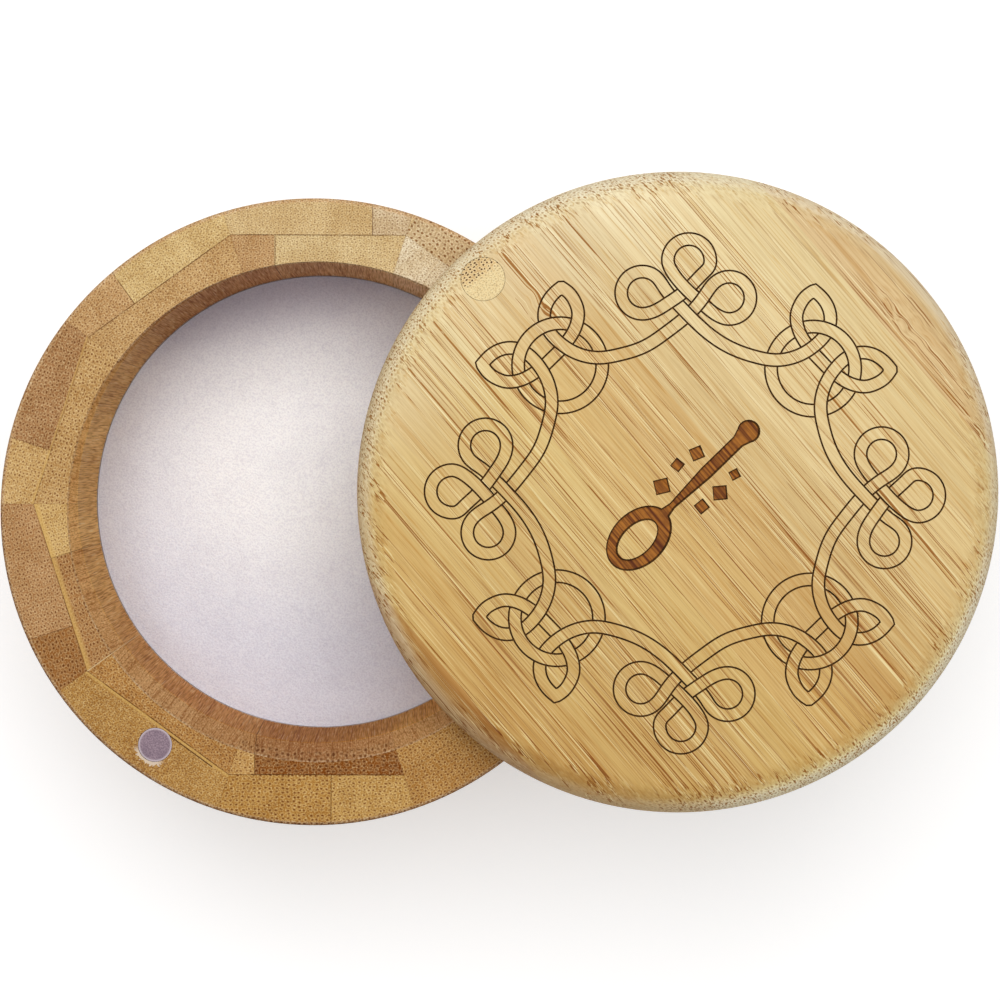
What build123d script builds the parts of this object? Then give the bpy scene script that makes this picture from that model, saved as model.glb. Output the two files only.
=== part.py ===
from build123d import *
import math
import os

# Round bamboo salt box with a flat lid that swivels sideways on one upright screw.
# Millimetres. +Z is up, and the origin is the middle of the flat base, on the axis that the
# outside is turned on. The pivot screw stands on +Y, at the back, and the catch magnet near -Y.
# The lid is drawn swung open, as it was photographed.

# ---- body: a ring of glued staves, two plies thick, with a disc let into its foot ----
BORE_DIAMETER = 68.6
INNER_PLY = 3.9             # at the middle of a stave, from the bore to the glue line
OUTER_PLY = 6.25            # at the middle of a stave, from the glue line to the outside
STAVE_COUNT = 10
BODY_HEIGHT = 57.15
BASE_THICKNESS = 9.5
REBATE_LAP = 0.35           # how far the base disc reaches past the corners of the inner ply
RING_OFFSET = 1.1           # the outside is turned this far off the axis of the glued ring
RING_OFFSET_ANGLE = 100.6   # degrees from +X, the side on which the wall is thinner
RIM_ROUND = 0.8
FOOT_ROUND = 1.2
MOUTH_WIDTH = 1.15          # from the bore out to the edge of the tapered mouth
MOUTH_SLOPE = 18.0          # degrees off upright
MOUTH_OFFSET = 0.5          # the mouth is cut this far off the axis of the outside
MOUTH_OFFSET_ANGLE = 37.0   # degrees from +X

# ---- lid: a laminated board, turned round and softened all along its top edge ----
LID_THICKNESS = 12.7
LID_TOP_ROUND = 5.0
LID_BOTTOM_ROUND = 0.8
OPEN_ANGLE = 79.0           # counter-clockwise from shut, seen from above

# ---- pivot: a pan-head wood screw under a bamboo plug ----
PIVOT_INSET = 4.55          # from the outside of the body to the screw's axis
SHANK_DIAMETER = 3.0
THREAD_ROOT_DIAMETER = 2.2
THREAD_PITCH = 1.25
THREAD_LENGTH = 12.5
TIP_LENGTH = 1.6
HEAD_DIAMETER = 5.4
HEAD_HEIGHT = 1.9
HEAD_ROUND = 0.7
RECESS_WIDTH = 0.8
RECESS_SPAN = 3.0
RECESS_DEPTH = 1.0
WASHER_THICKNESS = 0.5
PLUG_DIAMETER = 6.0
PLUG_LENGTH = 4.0

# ---- catch: two disc magnets, one in the rim and one in the lid ----
MAGNET_DIAMETER = 4.76
MAGNET_THICKNESS = 3.18
MAGNET_ANGLE = -88.1        # degrees from +X, seen from above, on the pivot's circle
MAGNET_SINK = 0.15          # below the wood's face

# ---- contents ----
SALT_DEPTH = 29.6           # from the rim down to the salt at the wall
SALT_MOUND = 2.5            # rise of the heap at its middle

# ---- fits ----
GLUE_GAP = 0.05             # glued round pieces, on the radius
RUNNING_GAP = 0.05          # lid on the smooth part of the screw, on the radius
WASHER_GAP = 0.1            # washer on the screw, on the radius
HEAD_ROOM = 0.3             # above the screw head, under the plug
PILOT_ROOM = 0.8            # below the tip of the screw
OVERRUN = 1.0               # how far cutting tools run past the face that they start from

# ---- worked out ----
bore_radius = BORE_DIAMETER / 2
glue_apothem = bore_radius + INNER_PLY
outer_radius = glue_apothem + OUTER_PLY
stave_angle = 360 / STAVE_COUNT
glue_corner_radius = glue_apothem / math.cos(math.radians(stave_angle / 2))
rebate_radius = glue_corner_radius + REBATE_LAP
ring_x = RING_OFFSET * math.cos(math.radians(RING_OFFSET_ANGLE))
ring_y = RING_OFFSET * math.sin(math.radians(RING_OFFSET_ANGLE))
mouth_radius = bore_radius + MOUTH_WIDTH
mouth_taper = math.tan(math.radians(MOUTH_SLOPE))
# deep enough to run out inside the bore all round, though the two aren't centred on each other
mouth_depth = (MOUTH_WIDTH + RING_OFFSET + MOUTH_OFFSET) / mouth_taper
mouth_x = MOUTH_OFFSET * math.cos(math.radians(MOUTH_OFFSET_ANGLE))
mouth_y = MOUTH_OFFSET * math.sin(math.radians(MOUTH_OFFSET_ANGLE))

lid_radius = outer_radius
lid_top = BODY_HEIGHT + LID_THICKNESS
pivot_radius = outer_radius - PIVOT_INSET
counterbore_radius = PLUG_DIAMETER / 2 + GLUE_GAP
plug_bottom = lid_top - PLUG_LENGTH
head_top = plug_bottom - HEAD_ROOM
washer_top = head_top - HEAD_HEIGHT
counterbore_floor = washer_top - WASHER_THICKNESS
screw_tip = BODY_HEIGHT - THREAD_LENGTH - TIP_LENGTH
washer_radius = HEAD_DIAMETER / 2

magnet_x = pivot_radius * math.cos(math.radians(MAGNET_ANGLE))
magnet_y = pivot_radius * math.sin(math.radians(MAGNET_ANGLE))
pocket_radius = MAGNET_DIAMETER / 2 + GLUE_GAP
pocket_depth = MAGNET_THICKNESS + MAGNET_SINK

ON_TOP = (Align.CENTER, Align.CENTER, Align.MIN)
HANGING = (Align.CENTER, Align.CENTER, Align.MAX)


def ring_place(z=0.0):
    """A place on the axis of the glued ring, at height z."""
    return Pos(ring_x, ring_y, z)


def pivot_place(z=0.0):
    """A place on the screw's axis, at height z."""
    return Pos(0, pivot_radius, z)


def swung_open(shape):
    """Turn a piece of the lid about the screw, from shut to where the lid stands open."""
    return pivot_place() * Rot(0, 0, OPEN_ANGLE) * pivot_place().inverse() * shape


# ---------------------------------------------------------------- body

def turned_outside():
    """The body as the lathe leaves its outside, still solid, with both edges softened."""
    blank = Cylinder(outer_radius, BODY_HEIGHT, align=ON_TOP)
    edges = blank.edges().filter_by(GeomType.CIRCLE).sort_by(Axis.Z)
    blank = fillet(edges[-1], RIM_ROUND)
    edges = blank.edges().filter_by(GeomType.CIRCLE).sort_by(Axis.Z)
    return fillet(edges[0], FOOT_ROUND)


def glue_prism(bottom, top):
    """The ten-sided space inside the glue line between the two plies."""
    outline = RegularPolygon(glue_apothem, STAVE_COUNT, major_radius=False)
    # a flat side of the prism faces +Y, where the screw stands
    turn = 90 - stave_angle / 2
    return ring_place(bottom) * Rot(0, 0, turn) * extrude(outline, top - bottom)


def mouth_tool():
    """The steep taper at the mouth of the bore: widest where the wall is thick."""
    bottom_radius = mouth_radius - mouth_depth * mouth_taper
    top_radius = mouth_radius + OVERRUN * mouth_taper
    taper = Cone(bottom_radius, top_radius, mouth_depth + OVERRUN, align=ON_TOP)
    return Pos(mouth_x, mouth_y, BODY_HEIGHT - mouth_depth) * taper


def stave_wedge(index):
    """The slice of the ring that stave number index fills, between two mitres."""
    reach = 2 * outer_radius
    middle = 90 + index * stave_angle
    first = math.radians(middle - stave_angle / 2)
    last = math.radians(middle + stave_angle / 2)
    corners = [
        (0, 0),
        (reach * math.cos(first), reach * math.sin(first)),
        (reach * math.cos(last), reach * math.sin(last)),
    ]
    return ring_place() * extrude(make_face(Polyline(*corners, close=True)), BODY_HEIGHT)


def pilot_hole():
    """The drilled hole that the screw's thread cuts its way into."""
    depth = BODY_HEIGHT - screw_tip + PILOT_ROOM
    hole = Cylinder(THREAD_ROOT_DIAMETER / 2, depth + OVERRUN, align=HANGING)
    return pivot_place(BODY_HEIGHT + OVERRUN) * hole


def rim_pocket():
    """The blind hole for the magnet in the rim."""
    pocket = Cylinder(pocket_radius, pocket_depth + OVERRUN, align=HANGING)
    return Pos(magnet_x, magnet_y, BODY_HEIGHT + OVERRUN) * pocket


def outer_ring():
    """The outer ply, all staves at once: round outside, ten-sided inside."""
    rebate = ring_place(-OVERRUN) * Cylinder(rebate_radius, BASE_THICKNESS + OVERRUN, align=ON_TOP)
    core = glue_prism(-OVERRUN, BODY_HEIGHT + OVERRUN)
    return turned_outside() - core - rebate - pilot_hole() - rim_pocket()


def inner_ring():
    """The inner ply, all staves at once: ten-sided outside, bored inside, on the base disc."""
    bore = ring_place() * Cylinder(bore_radius, BODY_HEIGHT + OVERRUN, align=ON_TOP)
    plies = glue_prism(BASE_THICKNESS, BODY_HEIGHT)
    return plies - bore - mouth_tool() - pilot_hole() - rim_pocket()


def base_disc():
    """The bottom, let into a rebate from below and carrying the inner ply."""
    disc = Cylinder(rebate_radius - GLUE_GAP, BASE_THICKNESS, align=ON_TOP)
    return ring_place() * disc


def body_magnet():
    """The catch magnet in the rim, seated on the floor of its pocket."""
    magnet = Cylinder(MAGNET_DIAMETER / 2, MAGNET_THICKNESS, align=HANGING)
    return Pos(magnet_x, magnet_y, BODY_HEIGHT - MAGNET_SINK) * magnet


def salt_heap():
    """Loose salt on the floor of the bore, with a low mound in the middle."""
    heap_radius = bore_radius - GLUE_GAP
    shoulder = BODY_HEIGHT - SALT_DEPTH
    peak = shoulder + SALT_MOUND
    dome_radius = (heap_radius ** 2 + SALT_MOUND ** 2) / (2 * SALT_MOUND)
    column = Cylinder(heap_radius, peak - BASE_THICKNESS, align=ON_TOP)
    dome = Pos(0, 0, peak - dome_radius - BASE_THICKNESS) * Sphere(dome_radius)
    return ring_place(BASE_THICKNESS) * (column & dome)


# ---------------------------------------------------------------- pivot screw

def thread_outline():
    """Half section of the threaded end, as ridges one pitch apart, from the rim to the point."""
    crest = SHANK_DIAMETER / 2
    root = THREAD_ROOT_DIAMETER / 2
    ridges = int(THREAD_LENGTH / THREAD_PITCH)
    points = [(0, BODY_HEIGHT), (root, BODY_HEIGHT)]
    for ridge in range(ridges):
        start = BODY_HEIGHT - ridge * THREAD_PITCH
        points.append((crest, start - THREAD_PITCH / 2))
        points.append((root, start - THREAD_PITCH))
    points.append((0, screw_tip))
    return points


def pivot_screw():
    """Pan-head screw: smooth where the lid turns on it, threaded in the stave."""
    outline = make_face(Plane.XZ * Polyline(*thread_outline(), close=True))
    thread = revolve(outline, Axis.Z)
    shank = Pos(0, 0, BODY_HEIGHT) * Cylinder(
        SHANK_DIAMETER / 2, washer_top - BODY_HEIGHT, align=ON_TOP
    )
    head = Pos(0, 0, washer_top) * Cylinder(HEAD_DIAMETER / 2, HEAD_HEIGHT, align=ON_TOP)
    head = fillet(head.edges().filter_by(GeomType.CIRCLE).sort_by(Axis.Z)[-1], HEAD_ROUND)
    slot = Box(RECESS_SPAN, RECESS_WIDTH, RECESS_DEPTH + OVERRUN, align=HANGING)
    for turn in (0, 90):
        head -= Pos(0, 0, head_top + OVERRUN) * Rot(0, 0, turn) * slot
    return pivot_place() * (thread + shank + head)


def pivot_washer():
    """Thin washer between the screw's head and the wood of the lid."""
    ring = Cylinder(washer_radius, WASHER_THICKNESS, align=ON_TOP)
    ring -= Cylinder(SHANK_DIAMETER / 2 + WASHER_GAP, WASHER_THICKNESS, align=ON_TOP)
    return pivot_place(counterbore_floor) * ring


# ---------------------------------------------------------------- lid, drawn shut and then swung

def lid_blank():
    """The turned board without its holes, standing on the rim."""
    blank = Pos(0, 0, BODY_HEIGHT) * Cylinder(lid_radius, LID_THICKNESS, align=ON_TOP)
    edges = blank.edges().filter_by(GeomType.CIRCLE).sort_by(Axis.Z)
    blank = fillet(edges[-1], LID_TOP_ROUND)
    edges = blank.edges().filter_by(GeomType.CIRCLE).sort_by(Axis.Z)
    return fillet(edges[0], LID_BOTTOM_ROUND)


def lid_board():
    """The lid with its stepped pivot hole and the magnet's pocket in its underside."""
    clearance_hole = pivot_place(BODY_HEIGHT - OVERRUN) * Cylinder(
        SHANK_DIAMETER / 2 + RUNNING_GAP, LID_THICKNESS, align=ON_TOP
    )
    counterbore = pivot_place(counterbore_floor) * Cylinder(
        counterbore_radius, LID_THICKNESS, align=ON_TOP
    )
    pocket = Pos(magnet_x, magnet_y, BODY_HEIGHT - OVERRUN) * Cylinder(
        pocket_radius, pocket_depth + OVERRUN, align=ON_TOP
    )
    return swung_open(lid_blank() - clearance_hole - counterbore - pocket)


def pivot_plug():
    """End-grain plug that hides the screw, sanded flush with the lid's rounded edge."""
    plug = pivot_place(plug_bottom) * Cylinder(PLUG_DIAMETER / 2, PLUG_LENGTH, align=ON_TOP)
    return swung_open(plug & lid_blank())


def lid_magnet():
    """The catch magnet in the lid, over the one in the rim when the lid is shut."""
    magnet = Cylinder(MAGNET_DIAMETER / 2, MAGNET_THICKNESS, align=ON_TOP)
    return swung_open(Pos(magnet_x, magnet_y, BODY_HEIGHT + MAGNET_SINK) * magnet)


# ---------------------------------------------------------------- write one file a piece

def all_pieces():
    """Every separate piece by its name, staves numbered from the pivot's one leftwards."""
    pieces = {}
    outer = outer_ring()
    inner = inner_ring()
    for index in range(STAVE_COUNT):
        wedge = stave_wedge(index)
        pieces[f"outer_stave_{index + 1:02d}"] = outer & wedge
        pieces[f"inner_stave_{index + 1:02d}"] = inner & wedge
    pieces["base_disc"] = base_disc()
    pieces["body_magnet"] = body_magnet()
    pieces["salt_heap"] = salt_heap()
    pieces["pivot_screw"] = pivot_screw()
    pieces["pivot_washer"] = pivot_washer()
    pieces["lid_board"] = lid_board()
    pieces["pivot_plug"] = pivot_plug()
    pieces["lid_magnet"] = lid_magnet()
    return pieces


os.makedirs("parts", exist_ok=True)
for name, piece in all_pieces().items():
    export_step(piece, f"parts/{name}.step")
    print(f"{name}: {piece.volume:.1f} cubic mm")
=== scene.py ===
# %% [markdown]
# # A round bamboo salt box with a swivel lid
# The box is a ring of mitred bamboo staves in two plies, filled with salt. A thick round lid turns on one
# upright screw near the rim, and a small magnet in the rim catches it. The pieces come from the packed
# frame at their real size. This lesson dresses them: bamboo whose grain is a true solid, so that it shows
# dots on cut ends and lines on its sides, an engraved lid, loose salt, dull nickel and zinc-plated steel.

# %% Load the frame
import math

import bmesh
import bpy
import numpy as np
from mathutils import Matrix, Vector, geometry, kdtree, noise


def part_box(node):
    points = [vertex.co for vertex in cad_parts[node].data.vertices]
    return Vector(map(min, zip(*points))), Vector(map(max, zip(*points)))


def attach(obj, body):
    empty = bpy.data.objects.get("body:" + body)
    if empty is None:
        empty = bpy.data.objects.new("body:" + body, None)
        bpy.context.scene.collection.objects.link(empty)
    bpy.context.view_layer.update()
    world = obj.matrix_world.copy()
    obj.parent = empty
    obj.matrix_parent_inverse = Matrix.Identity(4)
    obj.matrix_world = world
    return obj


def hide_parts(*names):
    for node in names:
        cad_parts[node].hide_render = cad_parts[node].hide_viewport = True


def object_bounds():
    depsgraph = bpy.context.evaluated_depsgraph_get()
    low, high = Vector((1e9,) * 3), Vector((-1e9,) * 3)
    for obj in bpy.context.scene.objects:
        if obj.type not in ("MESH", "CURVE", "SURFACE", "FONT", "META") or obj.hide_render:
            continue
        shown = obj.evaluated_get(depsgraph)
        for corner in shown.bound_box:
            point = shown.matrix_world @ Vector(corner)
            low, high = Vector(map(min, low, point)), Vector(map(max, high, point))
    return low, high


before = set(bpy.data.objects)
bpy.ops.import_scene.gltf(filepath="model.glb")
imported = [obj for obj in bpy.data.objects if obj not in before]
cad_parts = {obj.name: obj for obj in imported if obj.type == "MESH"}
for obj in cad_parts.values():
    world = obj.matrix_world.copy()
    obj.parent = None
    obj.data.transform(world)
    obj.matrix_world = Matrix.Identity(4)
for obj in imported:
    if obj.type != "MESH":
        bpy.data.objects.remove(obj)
cad_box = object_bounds()
MM = 0.001
print("pieces in the frame:", len(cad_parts))

# %% [markdown]
# ## The camera
# The photograph looks straight down. A camera that points straight down keeps every upright wall pointing at
# one place in the picture, and here that place isn't the middle: the walls of the box converge a little to
# the left of it and above. So the lens is shifted a little, and the camera itself stays level. Its height
# comes from the lid, whose circle looks 1.9 percent larger than the rim's because it is 12.7 mm nearer.

# %% Camera
PHOTO_SIDE = 1000
PHOTO_TURN = math.radians(36.2)
NADIR_PIXEL = (400, 455)
RIM_HEIGHT = 57.15 * MM
CAMERA_ABOVE_RIM = 400 * MM
CAMERA_SPOT = (5.08 * MM, 13.70 * MM)
PIXELS_PER_MM_AT_RIM = 7.066
SENSOR = 36.0

camera_data = bpy.data.cameras.new("camera")
camera_data.sensor_width = SENSOR
camera_data.lens = SENSOR * PIXELS_PER_MM_AT_RIM * CAMERA_ABOVE_RIM / MM / PHOTO_SIDE
camera_data.shift_x = 0.5 - NADIR_PIXEL[0] / PHOTO_SIDE
camera_data.shift_y = NADIR_PIXEL[1] / PHOTO_SIDE - 0.5
camera = bpy.data.objects.new("camera", camera_data)
camera.location = (*CAMERA_SPOT, RIM_HEIGHT + CAMERA_ABOVE_RIM)
camera.rotation_euler = (0, 0, PHOTO_TURN)
bpy.context.scene.collection.objects.link(camera)
bpy.context.scene.camera = camera
print("lens", round(camera_data.lens, 1), "mm")


# %% A point of the photograph on a level plane
def on_plane(pixel, height):
    """The point of the part's frame that the photograph shows at a pixel, on the level plane at a height."""
    scale = (CAMERA_ABOVE_RIM + RIM_HEIGHT - height) / (CAMERA_ABOVE_RIM / MM * PIXELS_PER_MM_AT_RIM)
    right = (pixel[0] - NADIR_PIXEL[0]) * scale
    up = (NADIR_PIXEL[1] - pixel[1]) * scale
    turned = Matrix.Rotation(PHOTO_TURN, 2) @ Vector((right, up))
    return Vector((CAMERA_SPOT[0] + turned.x, CAMERA_SPOT[1] + turned.y, height))


# %% [markdown]
# ## Floor and light
# The box stands on plain white. The floor is a real white surface near the box, so it keeps the soft shadow,
# and further out it fades into a plain white backdrop. The light is a broad softbox above the photograph's
# upper left and an even sky: together they light a level surface at about 1, so colours come out as written.

# %% Colours as read on a screen
def tint(red, green, blue):
    """A colour from 0 to 255 as a screen shows it, turned into the light values that a shader takes."""
    levels = [value / 255 for value in (red, green, blue)]
    return (*[v / 12.92 if v <= 0.04045 else ((v + 0.055) / 1.055) ** 2.4 for v in levels], 1.0)


# %% Small helpers for shader nodes
def start_finish(name):
    """A new finish with its shader: gives the finish, its node tree and the shader."""
    finish = bpy.data.materials.new(name)
    finish.use_nodes = True
    return finish, finish.node_tree, finish.node_tree.nodes["Principled BSDF"]


def fill(tree, node, inputs):
    """Sets or links the named sockets of a node."""
    for socket, value in inputs.items():
        if isinstance(value, bpy.types.NodeSocket):
            tree.links.new(value, node.inputs[socket])
        else:
            node.inputs[socket].default_value = value
    return node


def add(tree, kind, inputs=None, **settings):
    """Adds a shader node, with its settings and its sockets."""
    node = tree.nodes.new("ShaderNode" + kind)
    for key, value in settings.items():
        setattr(node, key, value)
    return fill(tree, node, inputs or {})


def calc(tree, operation, *values, clamp=False):
    """One sum on single values."""
    return add(tree, "Math", dict(enumerate(values)), operation=operation, use_clamp=clamp).outputs[0]


def vector_calc(tree, operation, *values):
    """One sum on vectors."""
    return add(tree, "VectorMath", dict(enumerate(values)), operation=operation).outputs[0]


def scaled(tree, vector, size):
    """A vector made larger or smaller."""
    return add(tree, "VectorMath", {0: vector, "Scale": size}, operation="SCALE").outputs[0]


def ease(tree, value, start, end, low=0.0, high=1.0):
    """Goes smoothly from low to high while the value goes from start to end."""
    sockets = {"Value": value, "From Min": start, "From Max": end, "To Min": low, "To Max": high}
    return add(tree, "MapRange", sockets, interpolation_type="SMOOTHSTEP").outputs[0]


def blend_colours(tree, amount, first, second, way="MIX"):
    """Lays the second colour over the first, by an amount."""
    node = add(tree, "Mix", {0: amount, 6: first, 7: second}, data_type="RGBA", blend_type=way)
    return node.outputs[2]


def steps(tree, value, stops, interpolation="CONSTANT"):
    """A colour ramp with (place, colour) stops; places go from 0 to 1."""
    node = add(tree, "ValToRGB", {"Fac": value})
    node.color_ramp.interpolation = interpolation
    elements = node.color_ramp.elements
    while len(elements) < len(stops):
        elements.new(0.5)
    for element, (place, colour) in zip(elements, stops):
        element.position = place
        element.color = colour
    return node.outputs


def object_point(tree):
    """The point on the piece itself, in metres, which stays on the piece when it moves."""
    return add(tree, "TexCoord").outputs["Object"]


# %% Floor
FLOOR_RADIUS = 2.5
FLOOR_DROP = 0.02 * MM
WHITE_START, WHITE_FULL = 0.16, 0.45
SHADOW_SHARE = 0.62

floor_mesh = bpy.data.meshes.new("floor")
floor_shape = bmesh.new()
bmesh.ops.create_circle(floor_shape, cap_ends=True, segments=96, radius=FLOOR_RADIUS)
floor_shape.to_mesh(floor_mesh)
floor_shape.free()
floor = bpy.data.objects.new("floor", floor_mesh)
floor.location.z = -FLOOR_DROP
bpy.context.scene.collection.objects.link(floor)

floor_finish, tree, shader = start_finish("white_floor")
seen = add(tree, "LightPath").outputs
direct = calc(tree, "MAXIMUM", seen["Is Camera Ray"], calc(tree, "MAXIMUM", seen["Is Glossy Ray"],
                                                           seen["Is Transmission Ray"]))
paint = add(tree, "BsdfDiffuse", {"Color": (0.86, 0.86, 0.86, 1)})
bright_paint = add(tree, "BsdfDiffuse", {"Color": (1.3, 1.3, 1.3, 1)})
paper = add(tree, "Emission", {"Color": (1, 1, 1, 1), "Strength": 1.0})
distance = add(tree, "VectorMath", {0: object_point(tree)}, operation="LENGTH").outputs["Value"]
far = calc(tree, "MULTIPLY", ease(tree, distance, WHITE_START, WHITE_FULL), direct)
shaded = add(tree, "MixShader", {0: SHADOW_SHARE, 1: paper.outputs[0], 2: bright_paint.outputs[0]})
near = add(tree, "MixShader", {0: direct, 1: paint.outputs[0], 2: shaded.outputs[0]})
whole = add(tree, "MixShader", {0: far, 1: near.outputs[0], 2: paper.outputs[0]})
tree.nodes.remove(shader)
tree.links.new(whole.outputs[0], tree.nodes["Material Output"].inputs["Surface"])
floor_mesh.materials.append(floor_finish)

# %% Sky and softbox
SKY = 0.34
SOFTBOX_SIDE = 0.5
SOFTBOX_POWER = 3.33
SOFTBOX_REACH = 0.60
SOFTBOX_TILT = math.radians(15)
SOFTBOX_HEADING = math.radians(98)

world = bpy.data.worlds.new("studio")
bpy.context.scene.world = world
world.use_nodes = True
sky_tree = world.node_tree
seen = add(sky_tree, "LightPath").outputs
direct = calc(sky_tree, "MAXIMUM", seen["Is Camera Ray"], calc(sky_tree, "MAXIMUM", seen["Is Glossy Ray"],
                                                               seen["Is Transmission Ray"]))
strength = calc(sky_tree, "ADD", SKY, calc(sky_tree, "MULTIPLY", direct, 1 - SKY))
fill(sky_tree, sky_tree.nodes["Background"], {"Color": (1, 1, 1, 1), "Strength": strength})

softbox_data = bpy.data.lights.new("softbox", "AREA")
softbox_data.size = SOFTBOX_SIDE
softbox_data.energy = SOFTBOX_POWER
softbox = bpy.data.objects.new("softbox", softbox_data)
middle = (Vector(cad_box[0]) + Vector(cad_box[1])) / 2
heading = PHOTO_TURN + SOFTBOX_HEADING
towards_light = Vector((math.sin(SOFTBOX_TILT) * math.cos(heading),
                        math.sin(SOFTBOX_TILT) * math.sin(heading),
                        math.cos(SOFTBOX_TILT)))
softbox.location = Vector((middle.x, middle.y, RIM_HEIGHT)) + towards_light * SOFTBOX_REACH
softbox.rotation_euler = towards_light.to_track_quat("Z", "Y").to_euler()
bpy.context.scene.collection.objects.link(softbox)
bpy.context.scene.view_settings.view_transform = "Standard"

# %% [markdown]
# ## Bamboo as a solid
# A bamboo culm is pale ground tissue with thousands of thin dark bundles that run along it. Cut across, the
# bundles are dots, and cut along, they are thin lines that fade in and out, because no strip lies quite
# true. Painting dots here and lines there would never agree at an edge. So the finish is a solid: a pattern
# of dots is laid out in the plane across the fibres and drawn out along them, and the surface of each piece
# just cuts through it. The rounded edge of the lid then shows dots by itself where its fibres end.

# %% Where the fibres lie
def grain_space(tree, place, turn):
    """The point in a strip's own millimetres: x through the strip, y across it, z along its fibres."""
    sockets = {"Vector": object_point(tree), "Location": place, "Rotation": turn, "Scale": (MM, MM, MM)}
    return add(tree, "Mapping", sockets, vector_type="TEXTURE").outputs[0]


def stretch(tree, point, x, y, z):
    """The point squeezed by three sizes, in millimetres, so that one unit of noise covers them."""
    return vector_calc(tree, "DIVIDE", point, (x, y, z))


def shifted(tree, point, x, y, z):
    return vector_calc(tree, "ADD", point, (x, y, z))


def cloud(tree, point, detail=2.0):
    """Soft noise, about 0.5 on average: gives its value and its colour."""
    return add(tree, "TexNoise", {"Vector": point, "Scale": 1.0, "Detail": detail}).outputs


def wander(tree, point, sizes, reach):
    """The point moved sideways by up to a reach, in swings of the given sizes."""
    swing = vector_calc(tree, "SUBTRACT", cloud(tree, stretch(tree, point, *sizes))[1], (0.5, 0.5, 0.5))
    return vector_calc(tree, "MULTIPLY_ADD", swing, (2 * reach, 2 * reach, 0), point)


def bundles(tree, point, gap, uneven=0.45):
    """Bundles a gap apart: how much of a bundle, and how much of the pale sheath round it, is at the point."""
    sockets = {"Vector": point, "Scale": calc(tree, "DIVIDE", 1.0, gap), "Randomness": uneven}
    cell = add(tree, "TexVoronoi", sockets, voronoi_dimensions="2D", feature="F1").outputs
    own = add(tree, "SeparateColor", {0: cell["Color"]}).outputs[0]
    core = calc(tree, "MULTIPLY", ease(tree, cell["Distance"], BUNDLE_EDGE, BUNDLE_CORE),
                ease(tree, own, 0.0, 0.5, 0.55, 1.0))
    return core, ease(tree, cell["Distance"], SHEATH_EDGE, BUNDLE_EDGE)


# %% The look of bamboo
WOOD_ROUGHNESS = 0.60
STAVE_SHEEN, LID_SHEEN = 0.05, 0.14
ROW_SHAPE = (0.86, 1.12, 1.0)
RELIEF = 0.05 * MM
FINE_GAP, COARSE_GAP = 0.50, 0.80
BUNDLE_CORE, BUNDLE_EDGE, SHEATH_EDGE = 0.06, 0.38, 0.54
BUNDLE_SHADE = (0.38, 0.22, 0.11, 1)
BETWEEN_SHADE = (0.64, 0.50, 0.34, 1)
SHEATH_SHADE = (1.0, 0.80, 0.42, 1)


def darken(tree, colour, amount, shade):
    """Takes the colour towards a shade of itself, by an amount."""
    return blend_colours(tree, amount, colour, shade, way="MULTIPLY")


def lighten(tree, colour, amount, shade):
    """Lays a glow of a shade over the colour, by an amount."""
    return blend_colours(tree, amount, colour, shade, way="SCREEN")


def bamboo_surface(tree, shader, point, colour, coarse, gaps=(FINE_GAP, COARSE_GAP), dots=1.0, grit=0.62,
                   patches=0.6, shade=BUNDLE_SHADE, sheen=STAVE_SHEEN):
    """Draws bundles, sheaths and grit over a ground colour, and fills in the shader."""
    swung = wander(tree, point, (9, 9, 45), 0.35)
    shaken = wander(tree, swung, (0.42, 0.42, 8), 0.12)
    gap = add(tree, "MapRange", {"Value": coarse, "To Min": gaps[0], "To Max": gaps[1]}).outputs[0]
    spot, sheath = bundles(tree, vector_calc(tree, "DIVIDE", shaken, ROW_SHAPE), gap)
    fine = cloud(tree, stretch(tree, swung, 0.20, 0.20, 8), detail=3.0)[0]
    slow = cloud(tree, stretch(tree, point, 4.0, 4.0, 60), detail=2.0)[0]
    between = calc(tree, "MULTIPLY", calc(tree, "SUBTRACT", 1.0, sheath), calc(tree, "MULTIPLY", dots, 0.34))
    glow = calc(tree, "MULTIPLY", sheath, calc(tree, "MULTIPLY", dots, 0.10))
    colour = darken(tree, colour, ease(tree, slow, 0.32, 0.72, 0.0, patches), (0.76, 0.66, 0.52, 1))
    colour = lighten(tree, colour, glow, SHEATH_SHADE)
    colour = darken(tree, colour, between, BETWEEN_SHADE)
    colour = darken(tree, colour, ease(tree, fine, 0.46, 0.68, 0.0, grit), (0.44, 0.30, 0.18, 1))
    colour = lighten(tree, colour, ease(tree, fine, 0.45, 0.28, 0.0, 0.5 * grit), SHEATH_SHADE)
    strong = calc(tree, "MULTIPLY", ease(tree, coarse, 0.0, 0.8, 0.75, 1.1), dots)
    colour = darken(tree, colour, calc(tree, "MULTIPLY", spot, strong, clamp=True), shade)
    height = calc(tree, "SUBTRACT", calc(tree, "MULTIPLY", fine, 0.5), calc(tree, "MULTIPLY", spot, 0.8))
    relief = add(tree, "Bump", {"Height": height, "Strength": 0.35, "Distance": RELIEF}).outputs[0]
    roughness = ease(tree, fine, 0.2, 0.8, WOOD_ROUGHNESS - 0.08, WOOD_ROUGHNESS + 0.12)
    fill(tree, shader, {"Base Color": colour, "Roughness": roughness, "Specular IOR Level": sheen,
                        "Normal": relief})


# %% [markdown]
# ## The staves of the box
# The wall is ten staves in two plies. Each stave is one or two strips of bamboo glued edge to edge, and each
# strip came from another part of the culm: near the skin the bundles are small and close, and further in
# they are large, dark and wide apart. So each strip gets its own tone and its own coarseness, set side by
# side in one ramp across the stave. The alpha of each stop carries the coarseness, because it belongs to it.

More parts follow.
